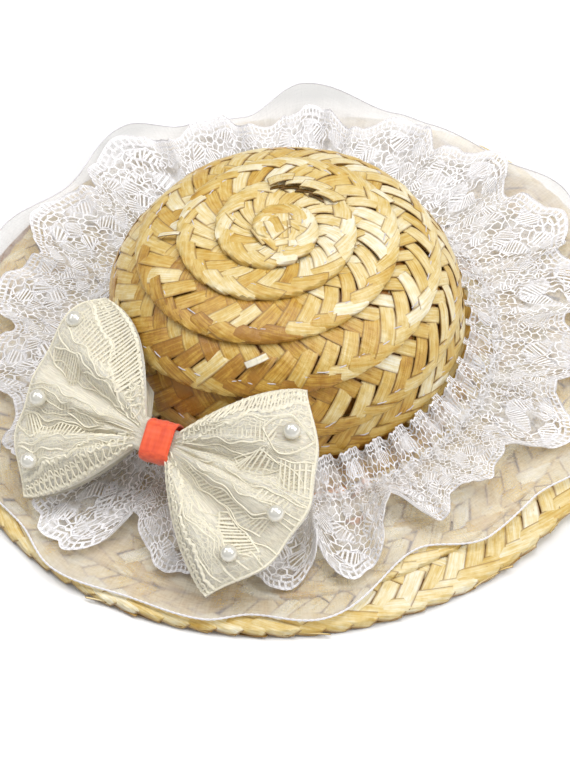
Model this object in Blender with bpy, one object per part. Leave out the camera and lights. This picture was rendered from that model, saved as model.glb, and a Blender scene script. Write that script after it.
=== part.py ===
"""A small dog's straw sun hat, in metres, +Z up.

The crown and the brim are coils of flat straw plait, each turn lapped over the next one out.
An organza ruffle and a lace ruffle lie on the brim round the crown, and a lace bow with a
ribbon knot and six half-round pearls leans on the crown at the front, which is -Y.
The origin is under the middle of the crown, on the surface that the brim rests on.
"""
import math

import bmesh
import bpy
from mathutils import Matrix, Vector

MM = 0.001
GAP = 0.35 * MM

# Driving dimensions
BRIM_RADIUS = 100 * MM
BRIM_INNER_RADIUS = 46.5 * MM
CROWN_RADIUS = 50.3 * MM
CROWN_HEIGHT = 54 * MM
LAP = 1.2 * MM
LAP_MIDDLE = 0.7 * LAP
LAP_LEAN = 0.1 * LAP

# Straw coil: columns in one turn, and the direction in which the crown's coil starts
COLUMNS = 48
CROWN_START = -51.5
BRIM_START = 150.0

# Crown: a rounded dome on a short upright side
CROWN_WIDEST_HEIGHT = 12 * MM
CROWN_FOOT_HEIGHT = 8.7 * MM
DOME_POWER = 2.95
DOME_STEPS = 240
STRAW_THICKNESS = 1.3 * MM
SEAT_RADIUS = 12 * MM
SEAT_DROP = 0.2 * MM
LINING_REACHES = [22 * MM, 31 * MM, 39 * MM, 47 * MM, 55 * MM, 63 * MM, 71 * MM]

# Outer edge of the plait, measured along the dome from its top
CROWN_COIL = [
    {"turn": 0.0, "edge": 4.0 * MM},
    {"turn": 1.0, "edge": 14.5 * MM},
    {"turn": 2.0, "edge": 25.0 * MM},
    {"turn": 3.0, "edge": 37.8 * MM},
    {"turn": 4.0, "edge": 52.6 * MM},
    {"turn": 5.0, "edge": 68.0 * MM},
    {"turn": 5.875, "edge": 75.5 * MM},
]

# Brim: flat at its edge, curving up to the crown
BRIM_THICKNESS = 2.0 * MM
BRIM_EDGE_ROUNDING = 0.5 * MM
BRIM_RISE = 6.2 * MM
BRIM_FLAT_FROM = 88 * MM
BRIM_CURVE = 1.5
BRIM_UNDER_RADII = [99.2 * MM, 88 * MM, 74 * MM, 60 * MM]
WAVE_FROM = 60 * MM

# Outer edge of the plait on the brim, from the hat's axis
BRIM_COIL = [
    {"turn": 0.0, "edge": 51.0 * MM},
    {"turn": 1.0, "edge": 61.2 * MM},
    {"turn": 2.0, "edge": 71.4 * MM},
    {"turn": 3.0, "edge": 81.6 * MM},
    {"turn": 3.5, "edge": 87.5 * MM},
    {"turn": 3.75, "edge": 92.0 * MM},
    {"turn": 3.875, "edge": 96.0 * MM},
]

# How far the brim's edge lifts off the table, by direction
BRIM_WAVE = [
    {"angle": -160, "lift": 1.2 * MM},
    {"angle": -130, "lift": 0.0},
    {"angle": -30, "lift": 0.0},
    {"angle": -8, "lift": 2.0 * MM},
    {"angle": 20, "lift": 0.0},
    {"angle": 60, "lift": 0.0},
    {"angle": 90, "lift": 1.8 * MM},
    {"angle": 120, "lift": 0.0},
    {"angle": 175, "lift": 0.0},
]

# Ruffles
SEAM_RADIUS = 60 * MM
CLOTH_THICKNESS = 1.0 * MM
ORGANZA_COLUMNS = 84
ORGANZA_INNER_RADIUS = 58.5 * MM
ORGANZA_SHARES = [0.0, 0.3, 0.55, 0.8, 1.0]
ORGANZA_EDGE = [
    {"angle": -178, "reach": 101 * MM, "lift": 3.0 * MM},
    {"angle": -164, "reach": 96 * MM, "lift": 1.0 * MM},
    {"angle": -150, "reach": 99 * MM, "lift": 2.5 * MM},
    {"angle": -134, "reach": 94 * MM, "lift": 0.5 * MM},
    {"angle": -120, "reach": 97 * MM, "lift": 1.0 * MM},
    {"angle": -108, "reach": 95 * MM, "lift": 0.0},
    {"angle": -96, "reach": 99.5 * MM, "lift": 0.5 * MM},
    {"angle": -82, "reach": 96.5 * MM, "lift": 0.0},
    {"angle": -70, "reach": 98 * MM, "lift": 0.6 * MM},
    {"angle": -62, "reach": 94.5 * MM, "lift": 0.0},
    {"angle": -52, "reach": 97.5 * MM, "lift": 0.8 * MM},
    {"angle": -31, "reach": 82.5 * MM, "lift": 0.3 * MM},
    {"angle": -19, "reach": 90.5 * MM, "lift": 1.0 * MM},
    {"angle": -8, "reach": 89.5 * MM, "lift": 0.2 * MM},
    {"angle": 6, "reach": 98 * MM, "lift": 1.5 * MM},
    {"angle": 24, "reach": 95 * MM, "lift": 1.0 * MM},
    {"angle": 42, "reach": 101 * MM, "lift": 3.5 * MM},
    {"angle": 58, "reach": 97 * MM, "lift": 2.0 * MM},
    {"angle": 68, "reach": 99.5 * MM, "lift": 4.0 * MM},
    {"angle": 82, "reach": 95.5 * MM, "lift": 2.0 * MM},
    {"angle": 97, "reach": 96.5 * MM, "lift": 3.0 * MM},
    {"angle": 104, "reach": 98 * MM, "lift": 3.0 * MM},
    {"angle": 121, "reach": 107 * MM, "lift": 5.0 * MM},
    {"angle": 132, "reach": 96.5 * MM, "lift": 2.5 * MM},
    {"angle": 143, "reach": 98 * MM, "lift": 3.0 * MM},
    {"angle": 153, "reach": 105 * MM, "lift": 5.0 * MM},
    {"angle": 169, "reach": 96.5 * MM, "lift": 2.5 * MM},
]

# The lace ruffle's flutes: each runs from a fold drawn in to a crest laid out
LACE_COLUMNS = 132
LACE_SHARES = [0.3, 0.62, 1.0]
FLUTE_LIFT = 0.26
CREST_LIFT = 0.5 * MM
FLUTE_FLAT_REACH = 88 * MM
HEADER_TOP_RADIUS = 53.2 * MM
HEADER_TOP_HEIGHT = 16.3 * MM
HEADER_PLEATS = 44
HEADER_PLEAT_DEPTH = 0.8 * MM
LACE_FLUTES = [
    {"fold": -172, "fold_reach": 76 * MM, "crest": -163, "crest_reach": 86 * MM},
    {"fold": -152, "fold_reach": 77 * MM, "crest": -142, "crest_reach": 87 * MM},
    {"fold": -132, "fold_reach": 79 * MM, "crest": -123, "crest_reach": 86 * MM},
    {"fold": -116, "fold_reach": 83 * MM, "crest": -98, "crest_reach": 93.5 * MM},
    {"fold": -90, "fold_reach": 75 * MM, "crest": -78, "crest_reach": 86.5 * MM},
    {"fold": -65, "fold_reach": 80 * MM, "crest": -56, "crest_reach": 87.5 * MM},
    {"fold": -50, "fold_reach": 72 * MM, "crest": -44, "crest_reach": 87 * MM},
    {"fold": -32, "fold_reach": 69 * MM, "crest": -25, "crest_reach": 80.5 * MM},
    {"fold": -18, "fold_reach": 75 * MM, "crest": -12, "crest_reach": 78 * MM},
    {"fold": -4, "fold_reach": 74.5 * MM, "crest": 6, "crest_reach": 86.5 * MM},
    {"fold": 16, "fold_reach": 76 * MM, "crest": 25, "crest_reach": 86 * MM},
    {"fold": 34, "fold_reach": 75 * MM, "crest": 43, "crest_reach": 88 * MM},
    {"fold": 53, "fold_reach": 76 * MM, "crest": 62, "crest_reach": 86 * MM},
    {"fold": 72, "fold_reach": 75 * MM, "crest": 81, "crest_reach": 88 * MM},
    {"fold": 91, "fold_reach": 77 * MM, "crest": 100, "crest_reach": 86 * MM},
    {"fold": 110, "fold_reach": 75 * MM, "crest": 119, "crest_reach": 88 * MM},
    {"fold": 129, "fold_reach": 76 * MM, "crest": 138, "crest_reach": 86 * MM},
    {"fold": 148, "fold_reach": 77 * MM, "crest": 157, "crest_reach": 88 * MM},
    {"fold": 167, "fold_reach": 75 * MM, "crest": 177, "crest_reach": 86 * MM},
]

# Bow: its own frame has X along the bow, Y up its face and Z out of its face
BOW_PLACE = Vector((0, -60.8 * MM, 25.5 * MM))
BOW_LEAN = math.radians(30)
BOW_THICKNESS = 1.0 * MM
PINCH_HALF_LENGTH = 5.8 * MM
PINCH_HALF_HEIGHT = 3.4 * MM
PINCH_DEPTH = 1.6 * MM
BOW_SAMPLES = 13
EDGE_BULGE = 4.0 * MM
FRONT_PUFF = 4.2 * MM
BACK_PUFF = 1.2 * MM
SWELL_POWER = 0.8
PLEAT_DEPTH = 1.7 * MM
PLEAT_PHASE = 0.6
PLEATS_FULL_FROM = 0.4
FOLD_PLEAT = 0.3
FRONT_SHARES = [0.0, 0.16, 0.34, 0.54, 0.75, 0.92]
BACK_SHARES = [0.92, 0.72, 0.46, 0.2, 0.0]

# The outer fold of each loop, from its lower corner to its upper one
BOW_LOOPS = [
    {
        "side": "left",
        "pleats": 3.4,
        "fold": [(-29, -30), (-40, -15.5), (-43.5, -1), (-42.5, 14), (-37, 28)],
    },
    {
        "side": "right",
        "pleats": 2.8,
        "fold": [(33, -32), (45, -17), (48.5, -1), (44.5, 14), (33, 29.5)],
    },
]

# Ribbon knot: a band round the pinch, turned a little on it
KNOT_TURN = math.radians(11)
KNOT_WIDTH = 9.0 * MM
KNOT_HALF_HEIGHT = 6.0 * MM
KNOT_HALF_DEPTH = 3.7 * MM
KNOT_CORNER = 2.6 * MM
KNOT_CORNER_STEPS = 5
RIBBON_THICKNESS = 0.8 * MM

# Pearls: half-round, set on the front of the loops
PEARL_RADIUS = 2.4 * MM
PEARL_HEIGHT = 3.4 * MM
PEARL_SEGMENTS = 12
PEARL_RINGS = 8
PEARLS = [
    {"side": "left", "out": 0.93, "across": 0.70},
    {"side": "left", "out": 0.79, "across": -0.10},
    {"side": "left", "out": 0.81, "across": -0.72},
    {"side": "right", "out": 0.86, "across": 0.66},
    {"side": "right", "out": 0.86, "across": -0.10},
    {"side": "right", "out": 0.82, "across": -0.64},
]


def clear_scene():
    for thing in list(bpy.data.objects):
        bpy.data.objects.remove(thing, do_unlink=True)


def finish(name, colour, roughness, metallic=0.0):
    material = bpy.data.materials.new(name)
    material.use_nodes = True
    shader = material.node_tree.nodes["Principled BSDF"]
    shader.inputs["Base Color"].default_value = (*colour, 1.0)
    shader.inputs["Roughness"].default_value = roughness
    shader.inputs["Metallic"].default_value = metallic
    return material


def add_object(name, bm, material, closed=True):
    if closed:
        bmesh.ops.recalc_face_normals(bm, faces=bm.faces)
    mesh = bpy.data.meshes.new(name)
    bm.to_mesh(mesh)
    bm.free()
    mesh.materials.append(material)
    mesh.shade_smooth()
    mesh.set_sharp_from_angle(angle=math.radians(40))
    thing = bpy.data.objects.new(name, mesh)
    bpy.context.collection.objects.link(thing)
    return thing


def thicken(thing, thickness, offset):
    """A sheet made a closed wall: offset 1 adds it outside the sheet, 0 on both sides."""
    wall = thing.modifiers.new("wall", "SOLIDIFY")
    wall.thickness = thickness
    wall.offset = offset
    wall.use_even_offset = True
    wall.use_rim = True


def read_line(rows, key, at, value):
    """A value between the rows of an open table, in straight stretches."""
    for low, high in zip(rows, rows[1:]):
        if at <= high[key]:
            share = (at - low[key]) / (high[key] - low[key])
            return low[value] + share * (high[value] - low[value])
    return rows[-1][value]


def ease(share):
    """Level at both ends."""
    return (1 - math.cos(math.pi * share)) / 2


def ease_to_crest(share):
    """Steep at the first row and level at the second, as cloth leaves a fold."""
    return math.sin(math.pi / 2 * share)


def read_round(rows, angle, value, folded=False):
    """A value between the rows of a table that closes on itself.

    A folded table alternates between a sharp fold and a broad crest.
    """
    turned = (angle - rows[0]["angle"]) % 360
    closed = [(row["angle"] - rows[0]["angle"], row[value]) for row in rows]
    closed.append((360, rows[0][value]))
    for number, ((low, start), (high, end)) in enumerate(zip(closed, closed[1:])):
        if turned <= high:
            share = (turned - low) / (high - low)
            if not folded:
                return start + ease(share) * (end - start)
            if number % 2 == 0:
                return start + ease_to_crest(share) * (end - start)
            return end + ease_to_crest(1 - share) * (start - end)
    return closed[-1][1]


def dome_outline():
    """Points (distance from the top, radius, height) down the outside of the crown."""
    rise = CROWN_HEIGHT - CROWN_WIDEST_HEIGHT
    outline = [(0.0, 0.0, CROWN_HEIGHT)]
    for step in range(1, DOME_STEPS + 1):
        slope = math.pi / 2 * (1 - (step / DOME_STEPS) ** 1.5)
        radius = CROWN_RADIUS * math.cos(slope) ** (2 / DOME_POWER)
        height = CROWN_WIDEST_HEIGHT + rise * max(math.sin(slope), 0.0) ** (2 / DOME_POWER)
        gone, old_radius, old_height = outline[-1]
        gone += math.hypot(radius - old_radius, height - old_height)
        outline.append((gone, radius, height))
    gone, radius, height = outline[-1]
    outline.append((gone + height - CROWN_FOOT_HEIGHT, radius, CROWN_FOOT_HEIGHT))
    return outline


DOME = dome_outline()
DOME_LENGTH = DOME[-1][0]


def dome_section(reach):
    """Radius, height and outward slope of the crown's outside at a distance from its top."""
    for (low, r1, z1), (high, r2, z2) in zip(DOME, DOME[1:]):
        if reach <= high:
            share = (reach - low) / (high - low)
            length = math.hypot(r2 - r1, z2 - z1)
            out = (z1 - z2) / length
            up = (r2 - r1) / length
            return r1 + share * (r2 - r1), z1 + share * (z2 - z1), out, up
    return DOME[-1][1], DOME[-1][2], 1.0, 0.0


def crown_radius_at(height):
    """Radius of the crown's outside at a height."""
    for (_, r1, z1), (_, r2, z2) in zip(DOME, DOME[1:]):
        if z2 <= height <= z1:
            return r1 + (z1 - height) / max(z1 - z2, 1e-9) * (r2 - r1)
    return 0.0 if height > CROWN_HEIGHT else CROWN_RADIUS


def on_circle(radius, angle, height):
    turn = math.radians(angle)
    return Vector((radius * math.cos(turn), radius * math.sin(turn), height))


def crown_point(reach, angle, rise):
    """A point of the crown: rise 0 is the foot of a lap and rise LAP its top edge."""
    radius, height, out, up = dome_section(reach)
    drop = rise - LAP
    return on_circle(max(radius + drop * out, 0.0), angle, height + drop * up)


def brim_wave(radius, angle):
    share = max(0.0, (radius - WAVE_FROM) / (BRIM_RADIUS - WAVE_FROM))
    return read_round(BRIM_WAVE, angle, "lift") * share ** 2


def brim_underside(radius):
    climb = max(0.0, BRIM_FLAT_FROM - radius) / (BRIM_FLAT_FROM - BRIM_INNER_RADIUS)
    return BRIM_RISE * climb ** BRIM_CURVE


def brim_point(radius, angle, rise):
    """A point of the brim: rise 0 is the foot of a lap, minus the thickness its underside."""
    height = brim_underside(radius) + BRIM_THICKNESS + rise
    return on_circle(radius, angle, height + brim_wave(radius, angle))


def coil_rows(bm, point, coil, start, inner_edge, inner, outer):
    """Lapped turns of plait between an inner ring (or one middle vertex) and an outer ring."""
    last = round(coil[-1]["turn"] * COLUMNS)
    step = 360 / COLUMNS
    edges = [read_line(coil, "turn", n / COLUMNS, "edge") for n in range(last + 1)]
    feet = list(inner)
    feet += [bm.verts.new(point(edge, start - n * step, 0.0)) for n, edge in enumerate(edges)]
    middles = []
    crests = []
    for n, edge in enumerate(edges):
        angle = start - n * step
        foot_edge = edges[n - COLUMNS] if n >= COLUMNS else inner_edge
        middles.append(bm.verts.new(point((foot_edge + edge) / 2, angle, LAP_MIDDLE)))
        crests.append(bm.verts.new(point(edge - LAP_LEAN, angle, LAP)))

    def face(*corners):
        kept = list(dict.fromkeys(corners))
        if len(kept) > 2:
            bm.faces.new(kept)

    for n in range(last):
        if n == COLUMNS - 1:
            face(feet[n], inner[0], feet[n + 1], middles[n + 1], middles[n])
        else:
            face(feet[n], feet[n + 1], middles[n + 1], middles[n])
        face(middles[n], middles[n + 1], crests[n + 1], crests[n])
        face(crests[n], crests[n + 1], feet[n + 1 + COLUMNS], feet[n + COLUMNS])
    face(inner[0], middles[0], crests[0], feet[COLUMNS])

    # The last turn runs down to the outer ring, and the plait's end is a small step
    first = last - COLUMNS
    for n in range(first, last):
        corners = [feet[n + COLUMNS]]
        if n == first:
            corners.append(feet[last + COLUMNS])
        corners += [outer[n % COLUMNS], outer[(n + 1) % COLUMNS], feet[n + 1 + COLUMNS]]
        face(*corners)
    face(feet[last], middles[last], crests[last], feet[last + COLUMNS])


def ring(bm, place):
    """One vertex for each column, going round the way the coil does."""
    return [bm.verts.new(place(n)) for n in range(COLUMNS)]


def join_rings(bm, one, other):
    for n in range(COLUMNS):
        after = (n + 1) % COLUMNS
        bm.faces.new((one[n], one[after], other[after], other[n]))


def crown(material):
    bm = bmesh.new()
    step = 360 / COLUMNS
    top = bm.verts.new((0, 0, CROWN_HEIGHT - LAP))
    foot = ring(bm, lambda n: crown_point(DOME_LENGTH, CROWN_START - n * step, 0.0))
    coil_rows(bm, crown_point, CROWN_COIL, CROWN_START, 0.0, [top] * COLUMNS, foot)

    # The inside follows the outside, with a flat round top where the head sits
    outside = foot
    for reach in [DOME_LENGTH] + LINING_REACHES[::-1]:
        inside = ring(bm, lambda n: crown_point(reach, CROWN_START - n * step, -STRAW_THICKNESS))
        join_rings(bm, outside, inside)
        outside = inside
    seat_height = CROWN_HEIGHT - LAP - STRAW_THICKNESS - SEAT_DROP
    seat = ring(bm, lambda n: on_circle(SEAT_RADIUS, CROWN_START - n * step, seat_height))
    join_rings(bm, outside, seat)
    bm.faces.new(seat)
    return add_object("crown", bm, material)


def brim(material):
    bm = bmesh.new()
    step = 360 / COLUMNS
    inner = ring(bm, lambda n: brim_point(BRIM_INNER_RADIUS, BRIM_START - n * step, 0.0))
    edge = BRIM_RADIUS - BRIM_EDGE_ROUNDING
    outer = ring(bm, lambda n: brim_point(edge, BRIM_START - n * step, 0.0))
    coil_rows(bm, brim_point, BRIM_COIL, BRIM_START, BRIM_INNER_RADIUS, inner, outer)
    sides = ring(
        bm, lambda n: brim_point(BRIM_RADIUS, BRIM_START - n * step, -BRIM_THICKNESS / 2)
    )
    join_rings(bm, outer, sides)
    for radius in BRIM_UNDER_RADII + [BRIM_INNER_RADIUS]:
        under = ring(bm, lambda n: brim_point(radius, BRIM_START - n * step, -BRIM_THICKNESS))
        join_rings(bm, sides, under)
        sides = under
    join_rings(bm, sides, inner)
    return add_object("brim", bm, material)


def round_sheet(bm, columns, lines, point):
    """A ring-shaped sheet: one row of vertices for each line, closed round the hat."""
    rows = []
    for line in lines:
        rows.append([bm.verts.new(point(line, 360 * n / columns)) for n in range(columns)])
    for low, high in zip(rows, rows[1:]):
        for n in range(columns):
            after = (n + 1) % columns
            bm.faces.new((low[n], high[n], high[after], low[after]))


def organza_floor(radius, angle):
    """Height at which organza laid flat on the brim has its underside."""
    return brim_point(radius, angle, LAP).z + GAP


def organza_height(radius, angle):
    """Height of the organza's underside, with the lift of its free edge."""
    reach = read_round(ORGANZA_EDGE, angle, "reach")
    share = (radius - ORGANZA_INNER_RADIUS) / (reach - ORGANZA_INNER_RADIUS)
    lift = read_round(ORGANZA_EDGE, angle, "lift") * min(max(share, 0.0), 1.0) ** 2
    return organza_floor(radius, angle) + lift


def organza_point(share, angle):
    reach = read_round(ORGANZA_EDGE, angle, "reach")
    radius = ORGANZA_INNER_RADIUS + share * (reach - ORGANZA_INNER_RADIUS)
    return on_circle(radius, angle, organza_height(radius, angle))


def organza_ruffle(material):
    bm = bmesh.new()
    round_sheet(bm, ORGANZA_COLUMNS, ORGANZA_SHARES, organza_point)
    ruffle = add_object("organza_ruffle", bm, material, closed=False)
    thicken(ruffle, CLOTH_THICKNESS, 1.0)
    return ruffle


def lace_edge_rows():
    """The lace's outer edge as one closed table: a fold, a crest, a fold and so on."""
    rows = []
    for flute in LACE_FLUTES:
        for turn, reach in (("fold", "fold_reach"), ("crest", "crest_reach")):
            rise = CREST_LIFT + FLUTE_LIFT * max(0.0, FLUTE_FLAT_REACH - flute[reach])
            rows.append({"angle": flute[turn], "reach": flute[reach], "lift": rise})
    return rows


LACE_EDGE = lace_edge_rows()


def lace_floor(radius, angle):
    """Height at which lace laid on the organza has its underside."""
    reach = read_round(ORGANZA_EDGE, angle, "reach")
    return organza_height(min(radius, reach), angle) + CLOTH_THICKNESS + GAP


def lace_point(line, angle):
    """A point of the lace: line -1 is the header's free edge, 0 the gathered seam, 1 the hem."""
    if line < 0:
        wave = math.cos(math.radians(HEADER_PLEATS * angle))
        pleat = HEADER_PLEAT_DEPTH * wave * -line
        seam_height = lace_floor(SEAM_RADIUS, angle)
        radius = SEAM_RADIUS + line * (SEAM_RADIUS - HEADER_TOP_RADIUS) + pleat
        height = seam_height - line * (HEADER_TOP_HEIGHT - seam_height) + pleat / 2
        return on_circle(radius, angle, height)
    reach = read_round(LACE_EDGE, angle, "reach", folded=True)
    radius = SEAM_RADIUS + line * (reach - SEAM_RADIUS)
    lift = read_round(LACE_EDGE, angle, "lift", folded=True) * line
    return on_circle(radius, angle, lace_floor(radius, angle) + lift)


def lace_ruffle(material):
    bm = bmesh.new()
    round_sheet(bm, LACE_COLUMNS, [-1.0, -0.5, 0.0] + LACE_SHARES, lace_point)
    ruffle = add_object("lace_ruffle", bm, material, closed=False)
    thicken(ruffle, CLOTH_THICKNESS, 1.0)
    return ruffle


def through(points, share):
    """A smooth line through evenly spaced points, share 0 to 1."""
    spans = len(points) - 1
    place = min(max(share, 0.0), 1.0) * spans
    span = min(int(place), spans - 1)
    t = place - span
    before = points[max(span - 1, 0)]
    start = points[span]
    end = points[span + 1]
    after = points[min(span + 2, spans)]
    return tuple(
        b + ((c - a) * t + (2 * a - 5 * b + 4 * c - d) * t**2 + (3 * (b - c) + d - a) * t**3) / 2
        for a, b, c, d in zip(before, start, end, after)
    )


def bow_matrix():
    return Matrix.Translation(BOW_PLACE) @ Matrix.Rotation(BOW_LEAN, 4, "X")


def off_the_crown(local):
    """A point of the bow moved out until the bow's wall is clear of the crown."""
    place = bow_matrix() @ local
    least = crown_radius_at(place.z) + BOW_THICKNESS + GAP
    radius = math.hypot(place.x, place.y)
    if radius < least:
        place.x *= least / radius
        place.y *= least / radius
    return bow_matrix().inverted() @ place


def loop_point(loop, out, across, face):
    """A point of a loop: out from the pinch to the fold, across its width, face 1 or -1."""
    fold_x, fold_y = through(loop["fold"], (across + 1) / 2)
    pinch_x = math.copysign(PINCH_HALF_LENGTH, fold_x)
    x = (1 - out) * pinch_x + out * fold_x * MM
    y = (1 - out) * PINCH_HALF_HEIGHT * across + out * fold_y * MM
    y += 4 * out * (1 - out) * EDGE_BULGE * across**3
    swell = math.sin(math.pi * min(out, 1.0) ** SWELL_POWER)
    pleat = math.cos(math.pi * loop["pleats"] * across + PLEAT_PHASE) * (FOLD_PLEAT + swell)
    pleat *= PLEAT_DEPTH * min(1.0, out / PLEATS_FULL_FROM)
    if face > 0:
        z = PINCH_DEPTH + FRONT_PUFF * swell + pleat
    else:
        z = -PINCH_DEPTH - BACK_PUFF * swell
    if out >= 1.0:
        z = FOLD_PLEAT * pleat
    return off_the_crown(Vector((x, y, z)))


def lace_bow(material):
    """One band laid round: the front of both loops, and back behind the knot."""
    left, right = BOW_LOOPS
    stations = [(right, out, 1) for out in FRONT_SHARES] + [(right, 1.0, 1)]
    stations += [(right, out, -1) for out in BACK_SHARES]
    stations += [(left, out, -1) for out in reversed(BACK_SHARES)] + [(left, 1.0, -1)]
    stations += [(left, out, 1) for out in reversed(FRONT_SHARES)]
    bm = bmesh.new()
    rows = []
    for loop, out, face in stations:
        row = []
        for sample in range(BOW_SAMPLES):
            across = 2 * sample / (BOW_SAMPLES - 1) - 1
            row.append(bm.verts.new(loop_point(loop, out, across, face)))
        rows.append(row)
    for number, row in enumerate(rows):
        after = rows[(number + 1) % len(rows)]
        for sample in range(BOW_SAMPLES - 1):
            bm.faces.new((row[sample], after[sample], after[sample + 1], row[sample + 1]))
    bow = add_object("lace_bow", bm, material, closed=False)
    thicken(bow, BOW_THICKNESS, 0.0)
    return bow


def knot_outline():
    """A rounded rectangle in the bow's YZ plane."""
    points = []
    corners = [(1, 1, 0), (-1, 1, 90), (-1, -1, 180), (1, -1, 270)]
    for side_y, side_z, start in corners:
        for step in range(KNOT_CORNER_STEPS):
            turn = math.radians(start + 90 * step / (KNOT_CORNER_STEPS - 1))
            y = side_y * (KNOT_HALF_HEIGHT - KNOT_CORNER) + KNOT_CORNER * math.cos(turn)
            z = side_z * (KNOT_HALF_DEPTH - KNOT_CORNER) + KNOT_CORNER * math.sin(turn)
            points.append((y, z))
    return points


def bow_knot(material):
    bm = bmesh.new()
    outline = knot_outline()
    rows = []
    for share in (-0.5, 0.0, 0.5):
        rows.append([bm.verts.new((share * KNOT_WIDTH, y, z)) for y, z in outline])
    for low, high in zip(rows, rows[1:]):
        for n in range(len(outline)):
            after = (n + 1) % len(outline)
            bm.faces.new((low[n], low[after], high[after], high[n]))
    knot = add_object("bow_knot", bm, material, closed=False)
    knot.rotation_euler = (0, 0, KNOT_TURN)
    thicken(knot, RIBBON_THICKNESS, -1.0)
    return knot


def pearl_seat(row):
    """Where a pearl's flat back sits on the front of its loop, and the way it faces."""
    loop = next(each for each in BOW_LOOPS if each["side"] == row["side"])
    near = []
    for out_step in range(-3, 4):
        for across_step in range(-4, 5):
            out = min(row["out"] + 0.02 * out_step, 0.99)
            across = max(-1.0, min(1.0, row["across"] + 0.03 * across_step))
            near.append(loop_point(loop, out, across, 1))
    middle = loop_point(loop, row["out"], row["across"], 1)
    along = loop_point(loop, row["out"] - 0.06, row["across"], 1) - middle
    over = loop_point(loop, row["out"], row["across"] - 0.1, 1) - middle
    facing = along.cross(over).normalized()
    if facing.z < 0:
        facing.negate()
    proud = 0.0
    for point in near:
        height = (point - middle).dot(facing)
        aside = (point - middle - facing * height).length
        if aside < PEARL_RADIUS:
            proud = max(proud, height)
    return middle + facing * (proud + BOW_THICKNESS / 2 + GAP), facing


def pearl(number, row, material):
    """A half-round pearl with its flat back on the front of a loop."""
    place, facing = pearl_seat(row)
    bm = bmesh.new()
    bmesh.ops.create_uvsphere(
        bm, u_segments=PEARL_SEGMENTS, v_segments=PEARL_RINGS, radius=PEARL_RADIUS
    )
    back = PEARL_RADIUS - PEARL_HEIGHT
    parts = bm.verts[:] + bm.edges[:] + bm.faces[:]
    bmesh.ops.bisect_plane(
        bm, geom=parts, plane_co=(0, 0, back), plane_no=(0, 0, 1), clear_inner=True
    )
    rim = [edge for edge in bm.edges if edge.is_boundary]
    bmesh.ops.contextual_create(bm, geom=rim)
    bmesh.ops.translate(bm, verts=bm.verts, vec=(0, 0, -back))
    thing = add_object(f"pearl_{number}", bm, material)
    thing.location = place
    thing.rotation_euler = facing.to_track_quat("Z", "Y").to_euler()
    return thing


def build():
    clear_scene()
    straw = finish("straw", (0.72, 0.48, 0.17), 0.55)
    organza = finish("organza", (0.86, 0.78, 0.70), 0.7)
    white_lace = finish("white_lace", (0.92, 0.90, 0.90), 0.85)
    cream_lace = finish("cream_lace", (0.85, 0.80, 0.66), 0.85)
    ribbon = finish("ribbon", (0.86, 0.16, 0.06), 0.4)
    pearl_coat = finish("pearl", (0.90, 0.88, 0.83), 0.15)

    crown(straw)
    brim(straw)
    organza_ruffle(organza)
    lace_ruffle(white_lace)

    place = bpy.data.objects.new("bow_place", None)
    bpy.context.collection.objects.link(place)
    place.matrix_world = bow_matrix()
    pieces = [lace_bow(cream_lace), bow_knot(ribbon)]
    pieces += [pearl(number, row, pearl_coat) for number, row in enumerate(PEARLS, start=1)]
    for piece in pieces:
        piece.parent = place


build()
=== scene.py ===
# %% [markdown]
# # A straw sun hat for a small dog
#
# The real hat is a coil of flat straw plait, sewn turn over turn into a crown and a brim.
# Two gathered ruffles lie on the brim: a sheer organza one below and a white lace one above.
# A cream lace bow with a ribbon knot and six half-round pearls is fixed at the front.
# This lesson dresses the measured solids of the hat, piece by piece, in the same place and size.

# %% Load the measured frame
import math

import bpy
import numpy as np
from mathutils import Matrix, Vector


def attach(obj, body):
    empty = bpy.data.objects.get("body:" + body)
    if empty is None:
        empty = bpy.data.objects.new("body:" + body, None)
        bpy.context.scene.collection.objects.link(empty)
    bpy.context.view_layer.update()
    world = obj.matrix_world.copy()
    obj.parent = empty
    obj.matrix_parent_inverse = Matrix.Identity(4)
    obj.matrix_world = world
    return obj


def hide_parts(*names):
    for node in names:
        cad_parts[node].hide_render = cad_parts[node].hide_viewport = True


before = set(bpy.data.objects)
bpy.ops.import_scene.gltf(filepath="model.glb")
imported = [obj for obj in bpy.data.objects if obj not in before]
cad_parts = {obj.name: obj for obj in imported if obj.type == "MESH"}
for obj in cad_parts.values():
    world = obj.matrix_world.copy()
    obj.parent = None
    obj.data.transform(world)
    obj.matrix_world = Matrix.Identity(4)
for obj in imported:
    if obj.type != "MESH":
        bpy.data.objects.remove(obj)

bpy.ops.object.select_all(action="DESELECT")
MM = 0.001
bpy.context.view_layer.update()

# %% [markdown]
# ## The measures
#
# The solids were drawn from a few tables. The same tables are repeated here, because every strip
# of straw and every thread is laid on the surfaces that they describe. Single sizes are in
# metres, and the tables are in millimetres, degrees and turns.

# %% Crown and brim measures
BRIM_RADIUS = 100 * MM
BRIM_INNER_RADIUS = 46.5 * MM
BRIM_THICKNESS = 2.0 * MM
BRIM_RISE = 6.2 * MM
BRIM_FLAT_FROM = 88 * MM
CROWN_RADIUS = 50.3 * MM
CROWN_HEIGHT = 54 * MM
CROWN_WIDEST_HEIGHT = 12 * MM
CROWN_FOOT_HEIGHT = 8.7 * MM
DOME_POWER = 2.95
LAP = 1.2 * MM
GAP = 0.35 * MM
CROWN_CREST = 1.75 * MM
BRIM_CREST = 1.25 * MM
SHELL_DROP = 1.75 * MM
SHELL_THICKNESS = 0.3 * MM
LINING_DROP = 2.0 * MM
WAVE_FROM = 60 * MM
CROWN_START = -51.5
BRIM_START = 150.0

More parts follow.
